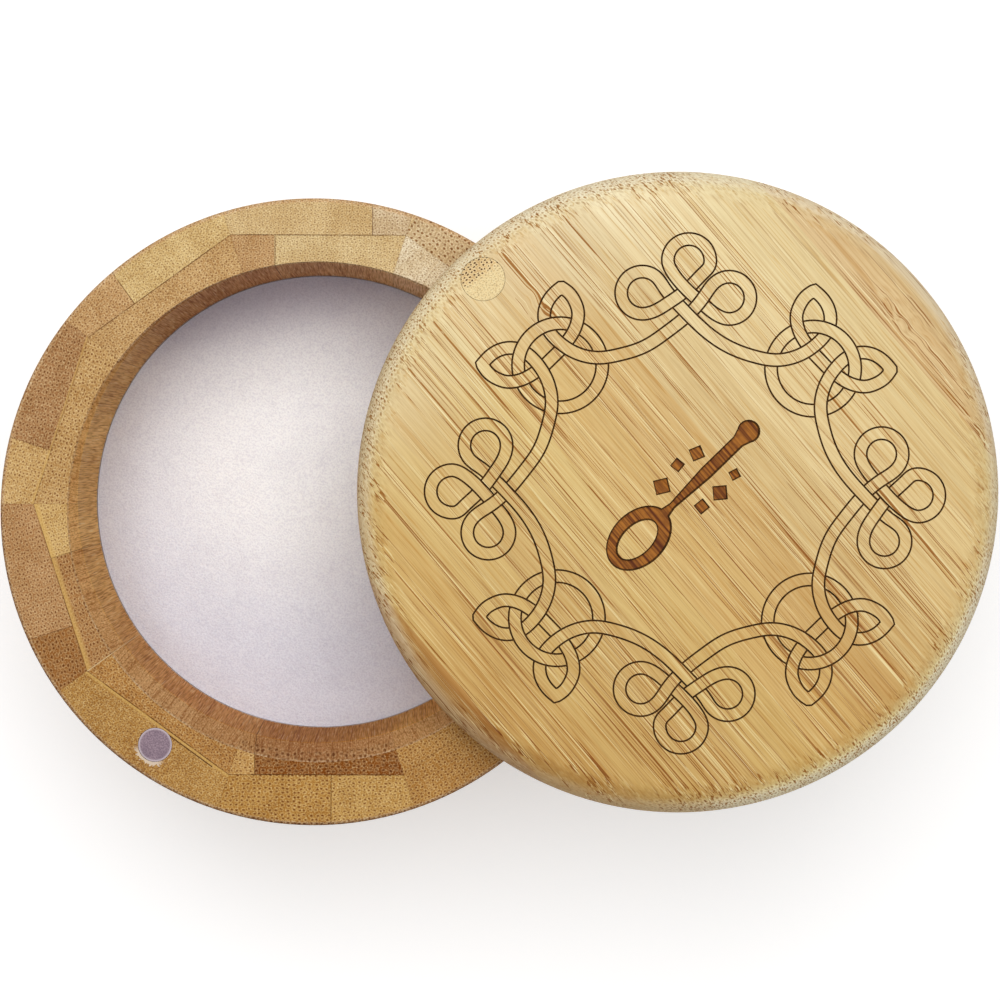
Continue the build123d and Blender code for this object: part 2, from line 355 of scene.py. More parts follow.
# %% Strips of each stave
STAVE_TURN = math.radians(36)
FIRST_STAVE = math.radians(90)
STAVE_HALF = 15.0
GLUE_LINE = 38.2
GLUE_WIDTH = 0.13
MITRE_DARKNESS = 0.3
DARK_GLUE = (0.26, 0.18, 0.12, 1)
GOLD_GLUE = tint(206, 166, 94)
BORE_RADIUS = 34.3
OUTSIDE_TONE = tint(204, 154, 98)
DOTS_DOWN_WALL = {7: 3.0}
WALL_HALF = 11.1
SALT_EDGE = 27.55

# strips from one end of a stave to the other: (start in mm along the stave, tone, coarseness 0 to 1)
OUTER_STRIPS = {
    1: [(-15, (200, 164, 110), 0.3), (2.9, (209, 185, 146), 1.0), (12.6, (214, 188, 142), 0.2)],
    2: [(-15, (217, 196, 162), 0.2), (-7.7, (216, 188, 137), 0.0)],
    3: [(-15, (220, 191, 133), 0.1), (4.3, (202, 162, 112), 0.3)],
    4: [(-15, (178, 134, 90), 0.5), (4.45, (210, 173, 114), 0.35)],
    5: [(-15, (188, 144, 98), 0.45), (5.7, (162, 111, 59), 0.85)],
    6: [(-15, (185, 140, 74), 0.1)],
    7: [(-15, (190, 144, 74), 0.7), (2.1, (197, 155, 87), 0.5)],
    8: [(-15, (186, 139, 74), 0.55), (0.7, (164, 118, 62), 0.8)],
    9: [(-15, (186, 142, 88), 0.4), (3.1, (198, 158, 102), 0.2)],
    10: [(-15, (196, 156, 100), 0.3), (-2.2, (184, 138, 88), 0.6)],
}
INNER_STRIPS = {
    1: [(-15, (229, 215, 185), 0.1)],
    2: [(-15, (219, 194, 144), 0.1), (6.1, (195, 155, 107), 0.2)],
    3: [(-15, (202, 164, 111), 0.3)],
    4: [(-15, (200, 161, 105), 0.5)],
    5: [(-15, (213, 177, 115), 0.3), (-4.3, (181, 134, 84), 0.6)],
    6: [(-15, (183, 133, 71), 0.35)],
    7: [(-15, (205, 162, 98), 0.5), (-8.75, (142, 84, 27), 1.0)],
    8: [(-15, (185, 138, 74), 0.5)],
    9: [(-15, (184, 140, 88), 0.3)],
    10: [(-15, (194, 154, 98), 0.3)],
}
# tones of the inner staves' upright sides, with the light and shade that each side gets painted into them: (in the
# tapered mouth, in the bore below it)
WALL_TONES_AND_PAINTED_LIGHT = {
    1: ((208, 168, 114), (246, 206, 150)), 2: ((108, 64, 36), (203, 145, 96)),
    3: ((150, 88, 44), (184, 127, 69)), 4: ((250, 193, 113), (255, 209, 131)),
    5: ((240, 188, 122), (255, 204, 118)), 6: ((219, 173, 120), (228, 162, 90)),
    7: ((195, 141, 91), (201, 137, 62)), 8: ((225, 180, 119), (250, 191, 96)),
    9: ((204, 154, 98), (225, 175, 115)), 10: ((204, 154, 98), (225, 175, 115)),
}
# how dark the glue lines of a stave are, and how deep the painted shade on its rounded outer edge is, where that isn't
# usual
GLUE_DARKNESS = {1: 0.2, 4: 0.5, 5: 0.8, 8: 0.3, 9: 0.5, 10: 0.5}
EDGE_PAINTED_SHADE = {4: 0.35, 5: 0.75, 6: 0.85, 7: 0.85, 8: 0.7}
# a band of gold glue along the joint of the plies: (millimetres wide, how strong)
GOLD_BANDS = {"outer_stave_04": (0.4, 0.5), "inner_stave_05": (1.0, 0.6), "outer_stave_06": (0.6, 0.6)}
# in the stave with the magnet: a crack beside the magnet, from one place to another across the stave, and the
# stave's thread of pale glue in its mitre
MAGNET_STAVE = 6
CRACK_ENDS, CRACK_DEPTH = (2.1, 9.9), 0.50

magnet_low, magnet_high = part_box("body_magnet")
magnet_middle = (magnet_low + magnet_high) / 2
disc_low, disc_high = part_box("base_disc")
ring_axis = (disc_low + disc_high) / 2
print("axis of the bore, mm:", round(ring_axis.x / MM, 2), round(ring_axis.y / MM, 2))


def across_the_box(tree):
    """How far the point is from the middle of the box's round outside, in millimetres."""
    flat = vector_calc(tree, "MULTIPLY", object_point(tree), (1 / MM, 1 / MM, 0))
    return add(tree, "VectorMath", {0: flat}, operation="LENGTH").outputs["Value"]


def strip_ramp(tree, across, half_width, strips):
    """Strips side by side: gives the tone at the point, and in the alpha how coarse its bundles are."""
    place = calc(tree, "DIVIDE", calc(tree, "ADD", across, half_width), 2 * half_width)
    stops = [((start + half_width) / (2 * half_width), (*tint(*tone)[:3], coarse)) for start, tone, coarse in strips]
    return steps(tree, place, stops)


def product(tree, *shares):
    """Several shares multiplied together."""
    whole = shares[0]
    for share in shares[1:]:
        whole = calc(tree, "MULTIPLY", whole, share)
    return whole


def wall_ramp_with_painted_light(tree, across, number, place):
    """The wall's tone with its painted light and shade, which goes slowly over into that of the staves on both sides.
    """
    before, own, after = [np.array(tint(*WALL_TONES_AND_PAINTED_LIGHT[(number + step) % 10 + 1][place])) for step in (-2, -1, 0)]
    share = calc(tree, "DIVIDE", calc(tree, "ADD", across, WALL_HALF), 2 * WALL_HALF)
    stops = [(0.0, tuple((before + own) / 2)), (0.5, tuple(own)), (1.0, tuple((own + after) / 2))]
    return steps(tree, share, stops, "LINEAR")[0]


def wall_side(tree, number, point, tone, inner):
    """The stave's upright side: threads instead of dots. Gives the tone, and where the dots have ended."""
    through, across, along = add(tree, "SeparateXYZ", {0: point}).outputs
    ragged = cloud(tree, stretch(tree, point, 0.35, 0.35, 60), detail=1.0)[0]
    below_rim = calc(tree, "SUBTRACT", RIM_HEIGHT / MM, along)
    side = ease(tree, below_rim, 0.0, 0.08)
    reach = DOTS_DOWN_WALL.get(number, 0.2)
    undotted = ease(tree, calc(tree, "SUBTRACT", below_rim, calc(tree, "MULTIPLY", ragged, 1.6)), reach - 0.6, reach)
    threads = cloud(tree, stretch(tree, point, 3.0, 0.17, 16), detail=2.5)[0]
    wall_tone = OUTSIDE_TONE
    if inner:
        from_axis = calc(tree, "SQRT", calc(tree, "ADD", calc(tree, "MULTIPLY", through, through),
                                            calc(tree, "MULTIPLY", across, across)))
        in_bore = ease(tree, from_axis, BORE_RADIUS + 0.09, BORE_RADIUS + 0.04)
        # the inner side takes tones with painted light and shade in them, brighter where the wall gets little light
        wall_tone = blend_colours(tree, in_bore, wall_ramp_with_painted_light(tree, across, number, 0),
                                  wall_ramp_with_painted_light(tree, across, number, 1))
    tone = blend_colours(tree, calc(tree, "MULTIPLY", side, 0.8), tone, wall_tone)
    streaks = product(tree, ease(tree, threads, 0.50, 0.64, 0.0, 0.7), ease(tree, below_rim, 0.3, 1.2))
    tone = darken(tree, tone, streaks, (0.58, 0.40, 0.24, 1))
    worn = product(tree, side, ease(tree, below_rim, 0.7, 0.2), ease(tree, ragged, 0.42, 0.60, 0.10, 0.45))
    return lighten(tree, tone, worn, (0.90, 0.72, 0.50, 1)), undotted


def glue_lines(tree, wood, name, number, strips, point):
    """Dark glue in the joints round the stave, and gold glue behind some of them."""
    through, across, along = add(tree, "SeparateXYZ", {0: point}).outputs
    dark_share = GLUE_DARKNESS.get(number, 1.0)
    to_ply = calc(tree, "ABSOLUTE", calc(tree, "SUBTRACT", through, GLUE_LINE))
    to_end = calc(tree, "SUBTRACT", calc(tree, "MULTIPLY", through, math.tan(STAVE_TURN / 2)),
                  calc(tree, "ABSOLUTE", across))
    if name in GOLD_BANDS:
        width, strength = GOLD_BANDS[name]
        wood = blend_colours(tree, ease(tree, to_ply, width, 0.3 * width, 0.0, strength), wood, GOLD_GLUE)
    nearest = to_ply
    for start, _, _ in strips[1:]:
        to_joint = calc(tree, "ABSOLUTE", calc(tree, "SUBTRACT", across, start))
        nearest = calc(tree, "MINIMUM", nearest, calc(tree, "MULTIPLY", to_joint, 1.2))
    patchy = cloud(tree, stretch(tree, point, 2.2, 2.2, 30))[0]
    glue = product(tree, ease(tree, nearest, GLUE_WIDTH, 0.0), ease(tree, patchy, 0.38, 0.50, 0.55, 1.0), dark_share)
    mitre = product(tree, ease(tree, to_end, 0.10, 0.0), MITRE_DARKNESS)
    glue = calc(tree, "MAXIMUM", glue, mitre)
    return darken(tree, wood, glue, DARK_GLUE), to_ply, to_end


def magnet_stave_marks(tree, wood, point, to_ply, to_end):
    """What only the stave with the magnet shows: a crack, a pale mitre, and a smear of glue by the magnet."""
    through, across, along = add(tree, "SeparateXYZ", {0: point}).outputs
    between = product(tree, calc(tree, "GREATER_THAN", across, CRACK_ENDS[0]),
                      calc(tree, "LESS_THAN", across, CRACK_ENDS[1]), calc(tree, "GREATER_THAN", through, GLUE_LINE))
    to_crack = calc(tree, "ABSOLUTE", calc(tree, "SUBTRACT", to_ply, CRACK_DEPTH))
    wood = darken(tree, wood, product(tree, ease(tree, to_crack, 0.15, 0.0), between), (0.14, 0.08, 0.05, 1))
    seam = product(tree, ease(tree, to_end, 0.16, 0.02, 0.0, 0.8), calc(tree, "LESS_THAN", across, 0.0),
                   calc(tree, "LESS_THAN", through, GLUE_LINE))
    wood = blend_colours(tree, seam, wood, tint(226, 204, 160))
    spot = scaled(tree, object_point(tree), 1 / MM)
    away = vector_calc(tree, "MULTIPLY", vector_calc(tree, "SUBTRACT", spot, tuple(magnet_middle / MM)), (1, 1, 0))
    far = add(tree, "VectorMath", {0: away}, operation="LENGTH").outputs["Value"]
    low_left = (math.cos(PHOTO_TURN + math.radians(240)), math.sin(PHOTO_TURN + math.radians(240)), 0)
    lean = calc(tree, "DIVIDE", add(tree, "VectorMath", {0: away, 1: low_left}, operation="DOT_PRODUCT").outputs[1], far)
    rough = cloud(tree, stretch(tree, point, 0.4, 0.4, 30), detail=3.0)[0]
    reach = calc(tree, "ADD", 2.1, calc(tree, "MULTIPLY", rough, 1.6))
    smear = product(tree, ease(tree, lean, 0.45, 0.85), calc(tree, "LESS_THAN", far, reach), 0.75)
    stain = product(tree, ease(tree, far, 6.0, 3.0), ease(tree, lean, -0.6, 0.7), ease(tree, rough, 0.42, 0.6))
    wood = darken(tree, wood, calc(tree, "MULTIPLY", stain, 0.5), (0.55, 0.36, 0.24, 1))
    return blend_colours(tree, smear, wood, tint(222, 206, 186))


def stave_finish(name, number, strips):
    """The finish of one stave: end grain on the rim, threads on its sides, and thin glue lines round it."""
    finish, tree, shader = start_finish(name + "_bamboo")
    turn = FIRST_STAVE + STAVE_TURN * (number - 1)
    point = grain_space(tree, (ring_axis.x, ring_axis.y, 0), (0, 0, turn))
    through, across, along = add(tree, "SeparateXYZ", {0: point}).outputs
    tone, coarse = strip_ramp(tree, across, STAVE_HALF, strips)
    tone, undotted = wall_side(tree, number, point, tone, inner=name.startswith("inner"))
    offset = shifted(tree, point, 3.1 * number, 5.7 * number, 11.0 * number)
    bamboo_surface(tree, shader, offset, tone, coarse, dots=ease(tree, undotted, 0.0, 1.0, 1.0, 0.10))
    wood = shader.inputs["Base Color"].links[0].from_socket

    speckle = cloud(tree, stretch(tree, point, 0.30, 0.30, 30), detail=1.0)[0]
    # painted shade on the rim's rounded outer edge, broken up by a speckle, deepest on the staves on the far side from
    # the softbox
    rounded = product(tree, ease(tree, across_the_box(tree), 43.8, 44.3), ease(tree, along, 55.9, 56.5),
                      ease(tree, speckle, 0.36, 0.52, 0.2, 1.0), EDGE_PAINTED_SHADE.get(number, 0.12))
    wood = darken(tree, wood, rounded, (0.30, 0.19, 0.12, 1))
    wood, to_ply, to_end = glue_lines(tree, wood, name, number, strips, point)
    if number == MAGNET_STAVE:
        wood = magnet_stave_marks(tree, wood, point, to_ply, to_end)
    clinging = calc(tree, "LESS_THAN", along, calc(tree, "ADD", SALT_EDGE - 0.6, calc(tree, "MULTIPLY", speckle, 2.4)))
    at_bore = ease(tree, through, 36.6, 36.2)
    wood = blend_colours(tree, product(tree, clinging, at_bore, 0.8), wood, tint(214, 202, 192))
    fill(tree, shader, {"Base Color": wood})
    return finish


def dress(node, finish):
    """Puts one finish on a piece of the frame."""
    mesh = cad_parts[node].data
    mesh.materials.clear()
    mesh.materials.append(finish)


for ply, table in (("outer", OUTER_STRIPS), ("inner", INNER_STRIPS)):
    for number, strips in table.items():
        node = f"{ply}_stave_{number:02d}"
        dress(node, stave_finish(node, number, strips))
print("staves dressed:", len(OUTER_STRIPS) + len(INNER_STRIPS))

# %% [markdown]
# ## The lid's bamboo
# The lid is glued up from narrow strips that lie flat, and then turned. Its fibres run across the photograph
# from upper left to lower right. Each strip has its own tone, and its bundles crowd towards one side, the
# side that was nearest the culm's skin. Some strips show a joint of the culm, where the fibres swerve.

# %% Finish of the lid
GRAIN_TURN = PHOTO_TURN - math.radians(49.5)
FIBRE_TILT = 0.020
LID_HALF = 46.0
LID_GAPS = (0.66, 0.66)
# painted shade that darkens the lid's top along the grain towards its lower right end
LID_PAINTED_SHADE = (0.87, 0.755, 0.57, 1)
# strips of the lid: (start in mm across the grain, tone, how crowded its bundles are)
LID_STRIPS = [
    (-46, (190, 146, 84), 0.60), (-40.5, (212, 180, 116), 0.75), (-32.6, (214, 186, 124), 0.50),
    (-24.7, (212, 184, 125), 0.80), (-16.7, (218, 193, 133), 0.60), (-8.7, (218, 190, 131), 0.50),
    (-0.7, (216, 187, 131), 0.85), (7.3, (221, 199, 149), 0.50), (15.2, (231, 213, 166), 0.35),
    (19.6, (232, 214, 167), 0.55), (27.9, (230, 213, 166), 0.25), (35.8, (221, 196, 151), 0.85),
]
# joints of the culm: (millimetres along the grain, across it, half length, half width)
CULM_JOINTS = [(1.6, 39.0, 9.0, 3.2), (-32.0, 1.5, 4.0, 2.6), (24.0, 37.5, 6.0, 2.5)]

lid_low, lid_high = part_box("lid_board")
lid_middle = (lid_low + lid_high) / 2
LID_TOP = lid_high.z
print("lid's middle, mm:", round(lid_middle.x / MM, 2), round(lid_middle.y / MM, 2))

grain_along = Vector((math.cos(GRAIN_TURN), math.sin(GRAIN_TURN), 0))


def lying_grain(direction):
    """The turn of a strip that lies flat: x down through it, y across it, z along the given direction."""
    down = Vector((0, 0, -1))
    across = direction.cross(down)
    return Matrix((down, across, direction)).transposed().to_euler()


def grain_lines(tree, solid, width, length, limits, high=1.0, hollow=1.0):
    """Thin lines along the fibres, where stretched noise rises past its limits; wide ones may be hollow."""
    wave = cloud(tree, stretch(tree, solid, 0.5, width, length), detail=1.0)[0]
    core = ease(tree, wave, limits[1] + 0.015, limits[1] + 0.05, 1.0, hollow)
    return calc(tree, "MULTIPLY", ease(tree, wave, *limits, 0.0, high), core)


def lid_finish(name, place):
    """Straight-grained strips, with a few culm joints, and painted light and shade over the top and round the edge."""
    finish, tree, shader = start_finish(name)
    point = grain_space(tree, place, lying_grain(grain_along))
    scar = None
    for along_at, across_at, long, wide in CULM_JOINTS:
        away = vector_calc(tree, "DIVIDE", vector_calc(tree, "SUBTRACT", point, (0, across_at, along_at)),
                           (40, wide, long))
        one = ease(tree, add(tree, "VectorMath", {0: away}, operation="LENGTH").outputs["Value"], 1.0, 0.1)
        scar = one if scar is None else calc(tree, "MAXIMUM", scar, one)
    swerve = vector_calc(tree, "SUBTRACT", cloud(tree, stretch(tree, point, 9, 3.2, 4.2), 1.0)[1], (0.5, 0.5, 0.5))
    reach = add(tree, "CombineXYZ", {0: scar, 1: scar, 2: 0.0}).outputs[0]
    bent = vector_calc(tree, "MULTIPLY_ADD", swerve, scaled(tree, reach, 2.4), point)
    through, across, along = add(tree, "SeparateXYZ", {0: bent}).outputs
    rounding = ease(tree, through, 0.15, 1.3)
    lengthways, crossways = calc(tree, "MULTIPLY", along, along), calc(tree, "MULTIPLY", across, across)
    end_share = calc(tree, "DIVIDE", lengthways, calc(tree, "ADD", calc(tree, "ADD", lengthways, crossways), 1.0))
    tone, crowd = strip_ramp(tree, across, LID_HALF, LID_STRIPS)
    # painted shade along the grain, growing towards the lower right end
    towards_shaded_end = calc(tree, "DIVIDE", calc(tree, "ADD", along, 44.0), 88.0, clamp=True)
    tone = darken(tree, tone, towards_shaded_end, LID_PAINTED_SHADE)
    drift = cloud(tree, stretch(tree, bent, 3.0, 1.3, 60), detail=2.0)[0]
    crowd = calc(tree, "MULTIPLY", crowd, ease(tree, drift, 0.42, 0.58, 0.08, 2.0))
    depth = calc(tree, "ADD", calc(tree, "ADD", through, calc(tree, "MULTIPLY", along, FIBRE_TILT)),
                 calc(tree, "MULTIPLY", across, 0.13))
    solid = add(tree, "CombineXYZ", {0: depth, 1: across, 2: along}).outputs[0]

    # the rounding is lightened where the fibres end: partly the end grain's own golden colour, partly a painted
    # highlight, strongest at the lower right end
    edge_grain_and_highlight = calc(tree, "ADD", ease(tree, end_share, 0.1, 0.9, 0.12, 0.30), ease(tree, along, 33, 42, 0.0, 0.5))
    upper = ease(tree, through, 6.0, 2.5, 0.25, 1.0)
    tone = lighten(tree, tone, product(tree, rounding, edge_grain_and_highlight, upper), (1.0, 0.84, 0.40, 1))
    # a pale painted highlight on the rounding, a little below the top, strongest at the lower right end
    tone = lighten(tree, tone, product(tree, ease(tree, through, 0.7, 1.7), upper,
                                       ease(tree, along, 30, 40, 0.24, 0.50)), (1.0, 0.94, 0.80, 1))
    # painted light over the upper left end of the lid
    tone = lighten(tree, tone, ease(tree, along, -22, -40, 0.0, 0.20), (1.0, 0.92, 0.70, 1))
    # painted shade over the lower left of the lid, stronger on its rounded edge
    shaded = product(tree, ease(tree, across, -18, -37), ease(tree, along, -16, 8), ease(tree, through, 0.0, 0.5, 0.25, 0.9))
    tone = darken(tree, tone, shaded, (0.70, 0.58, 0.44, 1))
    haze = grain_lines(tree, shifted(tree, solid, 5, 2, 7), 0.9, 40, (0.50, 0.66), 0.26)
    tone = darken(tree, tone, haze, (0.84, 0.70, 0.52, 1))
    gold = grain_lines(tree, shifted(tree, solid, 9, 4, 3), 0.34, 60, (0.575, 0.61), 0.6, hollow=0.4)
    tone = darken(tree, tone, gold, (0.78, 0.60, 0.34, 1))
    beside = grain_lines(tree, shifted(tree, solid, 0, 0.16, 0), 0.15, 70, (0.585, 0.605), 0.30)
    tone = lighten(tree, tone, calc(tree, "MULTIPLY", beside, crowd, clamp=True), (1.0, 0.86, 0.44, 1))
    brown = grain_lines(tree, solid, 0.17, 70, (0.585, 0.602))
    tone = darken(tree, tone, calc(tree, "MULTIPLY", brown, crowd, clamp=True), (0.46, 0.25, 0.09, 1))
    cut_ends = product(tree, rounding, ease(tree, end_share, 0.2, 0.8))
    bamboo_surface(tree, shader, solid, tone, 0.4, gaps=LID_GAPS, dots=ease(tree, cut_ends, 0.0, 1.0, 0.16, 1.1),
                   grit=0.16, patches=0.25, shade=(0.46, 0.28, 0.13, 1), sheen=LID_SHEEN)
    return finish


lid_bamboo = lid_finish("lid_bamboo", (lid_middle.x, lid_middle.y, LID_TOP))
dress("lid_board", lid_bamboo)
dress("base_disc", lid_finish("base_bamboo", (0.004, 0.003, 0)))

# %% [markdown]
# ## The engraving's lines
# A laser drew an interlaced ring on the lid: a ribbon, drawn as two parallel lines, that makes a trefoil of
# loops at each side and a knot through a circle at each corner. It is one endless ribbon and four circles.
# Only the middle of the ribbon is laid out, for one side and one corner, and it is mirrored round. The two
# lines are then set off from the middle, and broken wherever another pass of the ribbon lies over them.

# %% The ribbon's path
RIBBON_WIDTH = 1.71
LINE_WIDTH = 0.25
LOOP_RADIUS = 2.89
CIRCLE_RADIUS = 5.76
CIRCLE_PLACE = 17.33
POINT_GAP = 0.28


def arc(centre, radius, start, end):
    """Points on an arc, every 30 degrees or so, from one angle to another."""
    count = max(2, round(abs(end - start) / 30) + 1)
    angles = np.radians(np.linspace(start, end, count))
    return [(centre[0] + radius * math.cos(a), centre[1] + radius * math.sin(a)) for a in angles]


TREFOIL = [(-5.65, 20.14), (-2.96, 21.96), (-0.6, 23.83), (0.74, 25.1), (2.22, 26.96),
           *arc((5.72, 26.87), LOOP_RADIUS, 130, -95),
           (3.95, 24.55), (2.39, 25.72), (1.05, 26.86), (-0.81, 28.63), (-2.2, 30.4),
           *arc((0.14, 31.96), LOOP_RADIUS, 185, -15),
           (2.1, 30.2), (0.63, 28.65), (-0.97, 27.23), (-2.62, 26.07), (-4.7, 24.85),
           *arc((-6.21, 27.42), LOOP_RADIUS, -95, -312),
           (-3.22, 28.16), (-1.26, 25.87), (0.73, 23.88), (2.99, 21.9), (6.03, 20.02)]
HALF_KNOT = [(-7.88, 1.51), (-5.26, 1.1), (-3.25, 1.35), (-1.15, 2.21), (0.35, 3.29), (1.56, 4.6),
             (2.22, 6.1), (2.26, 7.3), (1.86, 8.62), (0.97, 9.86), (0.0, 10.7)]
HALF_KNOT_BACK = [(0.0, 10.7), (-1.07, 9.93), (-1.97, 8.6), (-2.36, 7.3), (-2.27, 6.08), (-1.82, 4.75),
                  (-1.1, 3.55), (0.0, 2.13), (1.06, 1.06)]


def knot_part(points):
    return [(x + CIRCLE_PLACE, y + CIRCLE_PLACE) for x, y in points]


def swapped(points):
    """The points mirrored in the corner's diagonal, so they run the other way."""
    return [(y, x) for x, y in reversed(points)]


def flipped(points):
    """The points mirrored top to bottom, so they run the other way."""
    return [(x, -y) for x, y in reversed(points)]


to_tip, from_tip = knot_part(HALF_KNOT), knot_part(HALF_KNOT_BACK)
corner = [to_tip, from_tip + swapped(from_tip)[1:], swapped(to_tip)]
upper_right = [TREFOIL + corner[0], corner[1], corner[2] + swapped(TREFOIL)]
lower_right = [flipped(run) for run in reversed(corner)]
half_ring = upper_right[:2] + [upper_right[2] + lower_right[0]] + lower_right[1:]
other_half = [[(-x, -y) for x, y in run] for run in half_ring]
runs = half_ring[1:-1] + [half_ring[-1] + other_half[0]] + other_half[1:-1] + [other_half[-1] + half_ring[0]]
PASSES = "uouououo" + "oououuouoo" + "ouououou" + "oououuouoo"
print("runs between the leaf tips:", len(runs))


# %% Smooth lines through points
def spline(points, gap=POINT_GAP):
    """A smooth open line through the points, as evenly spaced points: a natural cubic spline."""
    knots = np.array(points)
    keep = np.r_[True, np.linalg.norm(np.diff(knots, axis=0), axis=1) > 1e-6]
    knots = knots[keep]
    along = np.r_[0, np.cumsum(np.linalg.norm(np.diff(knots, axis=0), axis=1))]
    step = np.diff(along)
    slope = np.diff(knots, axis=0) / step[:, None]
    size = len(knots)
    system = np.eye(size)
    right = np.zeros((size, 2))
    for i in range(1, size - 1):
        system[i, i - 1:i + 2] = step[i - 1], 2 * (step[i - 1] + step[i]), step[i]
        right[i] = 6 * (slope[i] - slope[i - 1])
    bend = np.linalg.solve(system, right)
    line = []
    places = np.linspace(0, along[-1], max(3, int(along[-1] / gap)))
    for place in places:
        i = min(np.searchsorted(along, place, "right") - 1, size - 2)
        a, b, h = along[i + 1] - place, place - along[i], step[i]
        line.append(bend[i] * a ** 3 / (6 * h) + bend[i + 1] * b ** 3 / (6 * h)
                    + (knots[i] / h - bend[i] * h / 6) * a + (knots[i + 1] / h - bend[i + 1] * h / 6) * b)
    return np.array(line)


run_lines = [spline(run) for run in runs]
ribbon = np.vstack([line[:-1] for line in run_lines])
corner_marks = np.cumsum([0] + [len(line) - 1 for line in run_lines])[:-1]
circle_turns = np.linspace(0, 2 * math.pi, 128, endpoint=False)
circles = [np.c_[sx * CIRCLE_PLACE + CIRCLE_RADIUS * np.cos(circle_turns),
                 sy * CIRCLE_PLACE + CIRCLE_RADIUS * np.sin(circle_turns)]
           for sx, sy in ((1, 1), (1, -1), (-1, -1), (-1, 1))]
print("points along the ribbon:", len(ribbon))


# %% Where the ribbon crosses itself and the circles
def crossings(first, second):
    """The crossings of two closed lines, as places along each, counted in points."""
    a0, b0 = first, second
    a1, b1 = np.roll(first, -1, axis=0) - a0, np.roll(second, -1, axis=0) - b0
    gap = b0[None] - a0[:, None]
    cross = a1[:, None, 0] * b1[None, :, 1] - a1[:, None, 1] * b1[None, :, 0]
    cross = np.where(abs(cross) < 1e-12, 1e-12, cross)
    s = (gap[..., 0] * b1[None, :, 1] - gap[..., 1] * b1[None, :, 0]) / cross
    t = (gap[..., 0] * a1[:, None, 1] - gap[..., 1] * a1[:, None, 0]) / cross
    i, j = np.nonzero((s >= 0) & (s < 1) & (t >= 0) & (t < 1))
    apart = np.minimum((i - j) % len(first), (j - i) % len(first)) > 1 if first is second else i == i
    return [(i[k] + s[i[k], j[k]], j[k] + t[i[k], j[k]]) for k in np.nonzero(apart)[0]]


def start_of_trefoil():
    """The place along the ribbon where the upper trefoil begins."""
    return int(np.argmin(np.linalg.norm(ribbon - np.array(TREFOIL[0]), axis=1)))


passes = [(place, None, other) for place, other in crossings(ribbon, ribbon)]
for number, circle in enumerate(circles):
    passes += [(place, number, other) for place, other in crossings(ribbon, circle)]
first_place = start_of_trefoil()
passes.sort(key=lambda item: (item[0] - first_place) % len(ribbon))
print("passes over or under:", len(passes), "expected", 2 * len(PASSES))
hidden_by = {"ribbon": [], 0: [], 1: [], 2: [], 3: []}
for letter, (place, circle, other) in zip(PASSES * 2, passes):
    if letter == "u":
        hidden_by["ribbon"].append((place, circle, other))
    elif circle is not None:
        hidden_by[circle].append((other, None, place))


# %% The two lines of the ribbon, broken where it passes under
def set_off(line, distance, corners=()):
    """A closed line set off sideways, with mitred corners and no loops inside them."""
    before, after = line - np.roll(line, 1, axis=0), np.roll(line, -1, axis=0) - line
    before /= np.linalg.norm(before, axis=1)[:, None]
    after /= np.linalg.norm(after, axis=1)[:, None]
    side = np.c_[-(before + after)[:, 1], (before + after)[:, 0]]
    side /= np.linalg.norm(side, axis=1)[:, None]
    stretch_out = 1 / np.maximum((side * np.c_[-before[:, 1], before[:, 0]]).sum(axis=1), 0.3)
    moved = line + side * stretch_out[:, None] * distance
    good = np.ones(len(line), bool)
    for mark in corners:
        near = [(mark + k) % len(line) for k in range(-16, 17)]
        for i in near:
            if i != mark and np.linalg.norm(line[near] - moved[i], axis=1).min() < abs(distance) * 0.985:
                good[i] = False
    return moved, good


def hidden(places, points, owner):
    """Which points of a line lie under another pass of the ribbon or under a circle."""
    total = len(ribbon) if owner == "ribbon" else len(circle_turns)
    mask = np.zeros(len(points), bool)
    for place, circle, other in hidden_by[owner]:
        near = np.minimum((places - place) % total, (place - places) % total) < 16
        over = ribbon if circle is None else circles[circle]
        local = over[(int(other) + np.arange(-14, 15)) % len(over)]
        distance_to = np.linalg.norm(points[:, None] - local[None], axis=2).min(axis=1)
        mask |= near & (distance_to < RIBBON_WIDTH / 2)
    return mask


def visible_runs(line, owner, corners=()):
    """The pieces of a ribbon's two lines that can be seen."""
    found = []
    for distance in (-RIBBON_WIDTH / 2, RIBBON_WIDTH / 2):
        moved, good = set_off(line, distance, corners)
        places = np.nonzero(good)[0]
        # a finer line, so that it ends close to the line that crosses it
        dense, dense_place = [], []
        for i, j in zip(places, np.roll(places, -1)):
            span = (j - i) % len(line)
            for part in range(4):
                dense.append(moved[i] + (moved[j] - moved[i]) * part / 4)
                dense_place.append((i + span * part / 4) % len(line))
        dense, dense_place = np.array(dense), np.array(dense_place)
        shown = ~hidden(dense_place, dense, owner)
        if shown.all():
            found.append(np.vstack([dense[::4], dense[:1]]))
            continue
        start = int(np.nonzero(~shown)[0][0])
        order = (np.arange(len(dense)) + start) % len(dense)
        piece = []
        for i in order:
            if shown[i]:
                piece.append(i)
            elif piece:
                found.append(dense[piece])
                piece = []
        if piece:
            found.append(dense[piece])
    return found


def thinned(line):
    """Every fourth point of a fine line, with both its ends."""
    keep = list(range(0, len(line) - 1, 4)) + [len(line) - 1]
    if len(keep) > 2 and keep[-1] - keep[-2] < 2:
        keep.pop(-2)
    return line[keep]


lines = visible_runs(ribbon, "ribbon", corner_marks)
lines = [line if np.allclose(line[0], line[-1]) else thinned(line) for line in lines if len(line) > 2]
for number, circle in enumerate(circles):
    lines += [thinned(line) for line in visible_runs(circle, number) if len(line) > 2]
print("engraved lines:", len(lines), "points:", sum(len(line) for line in lines))

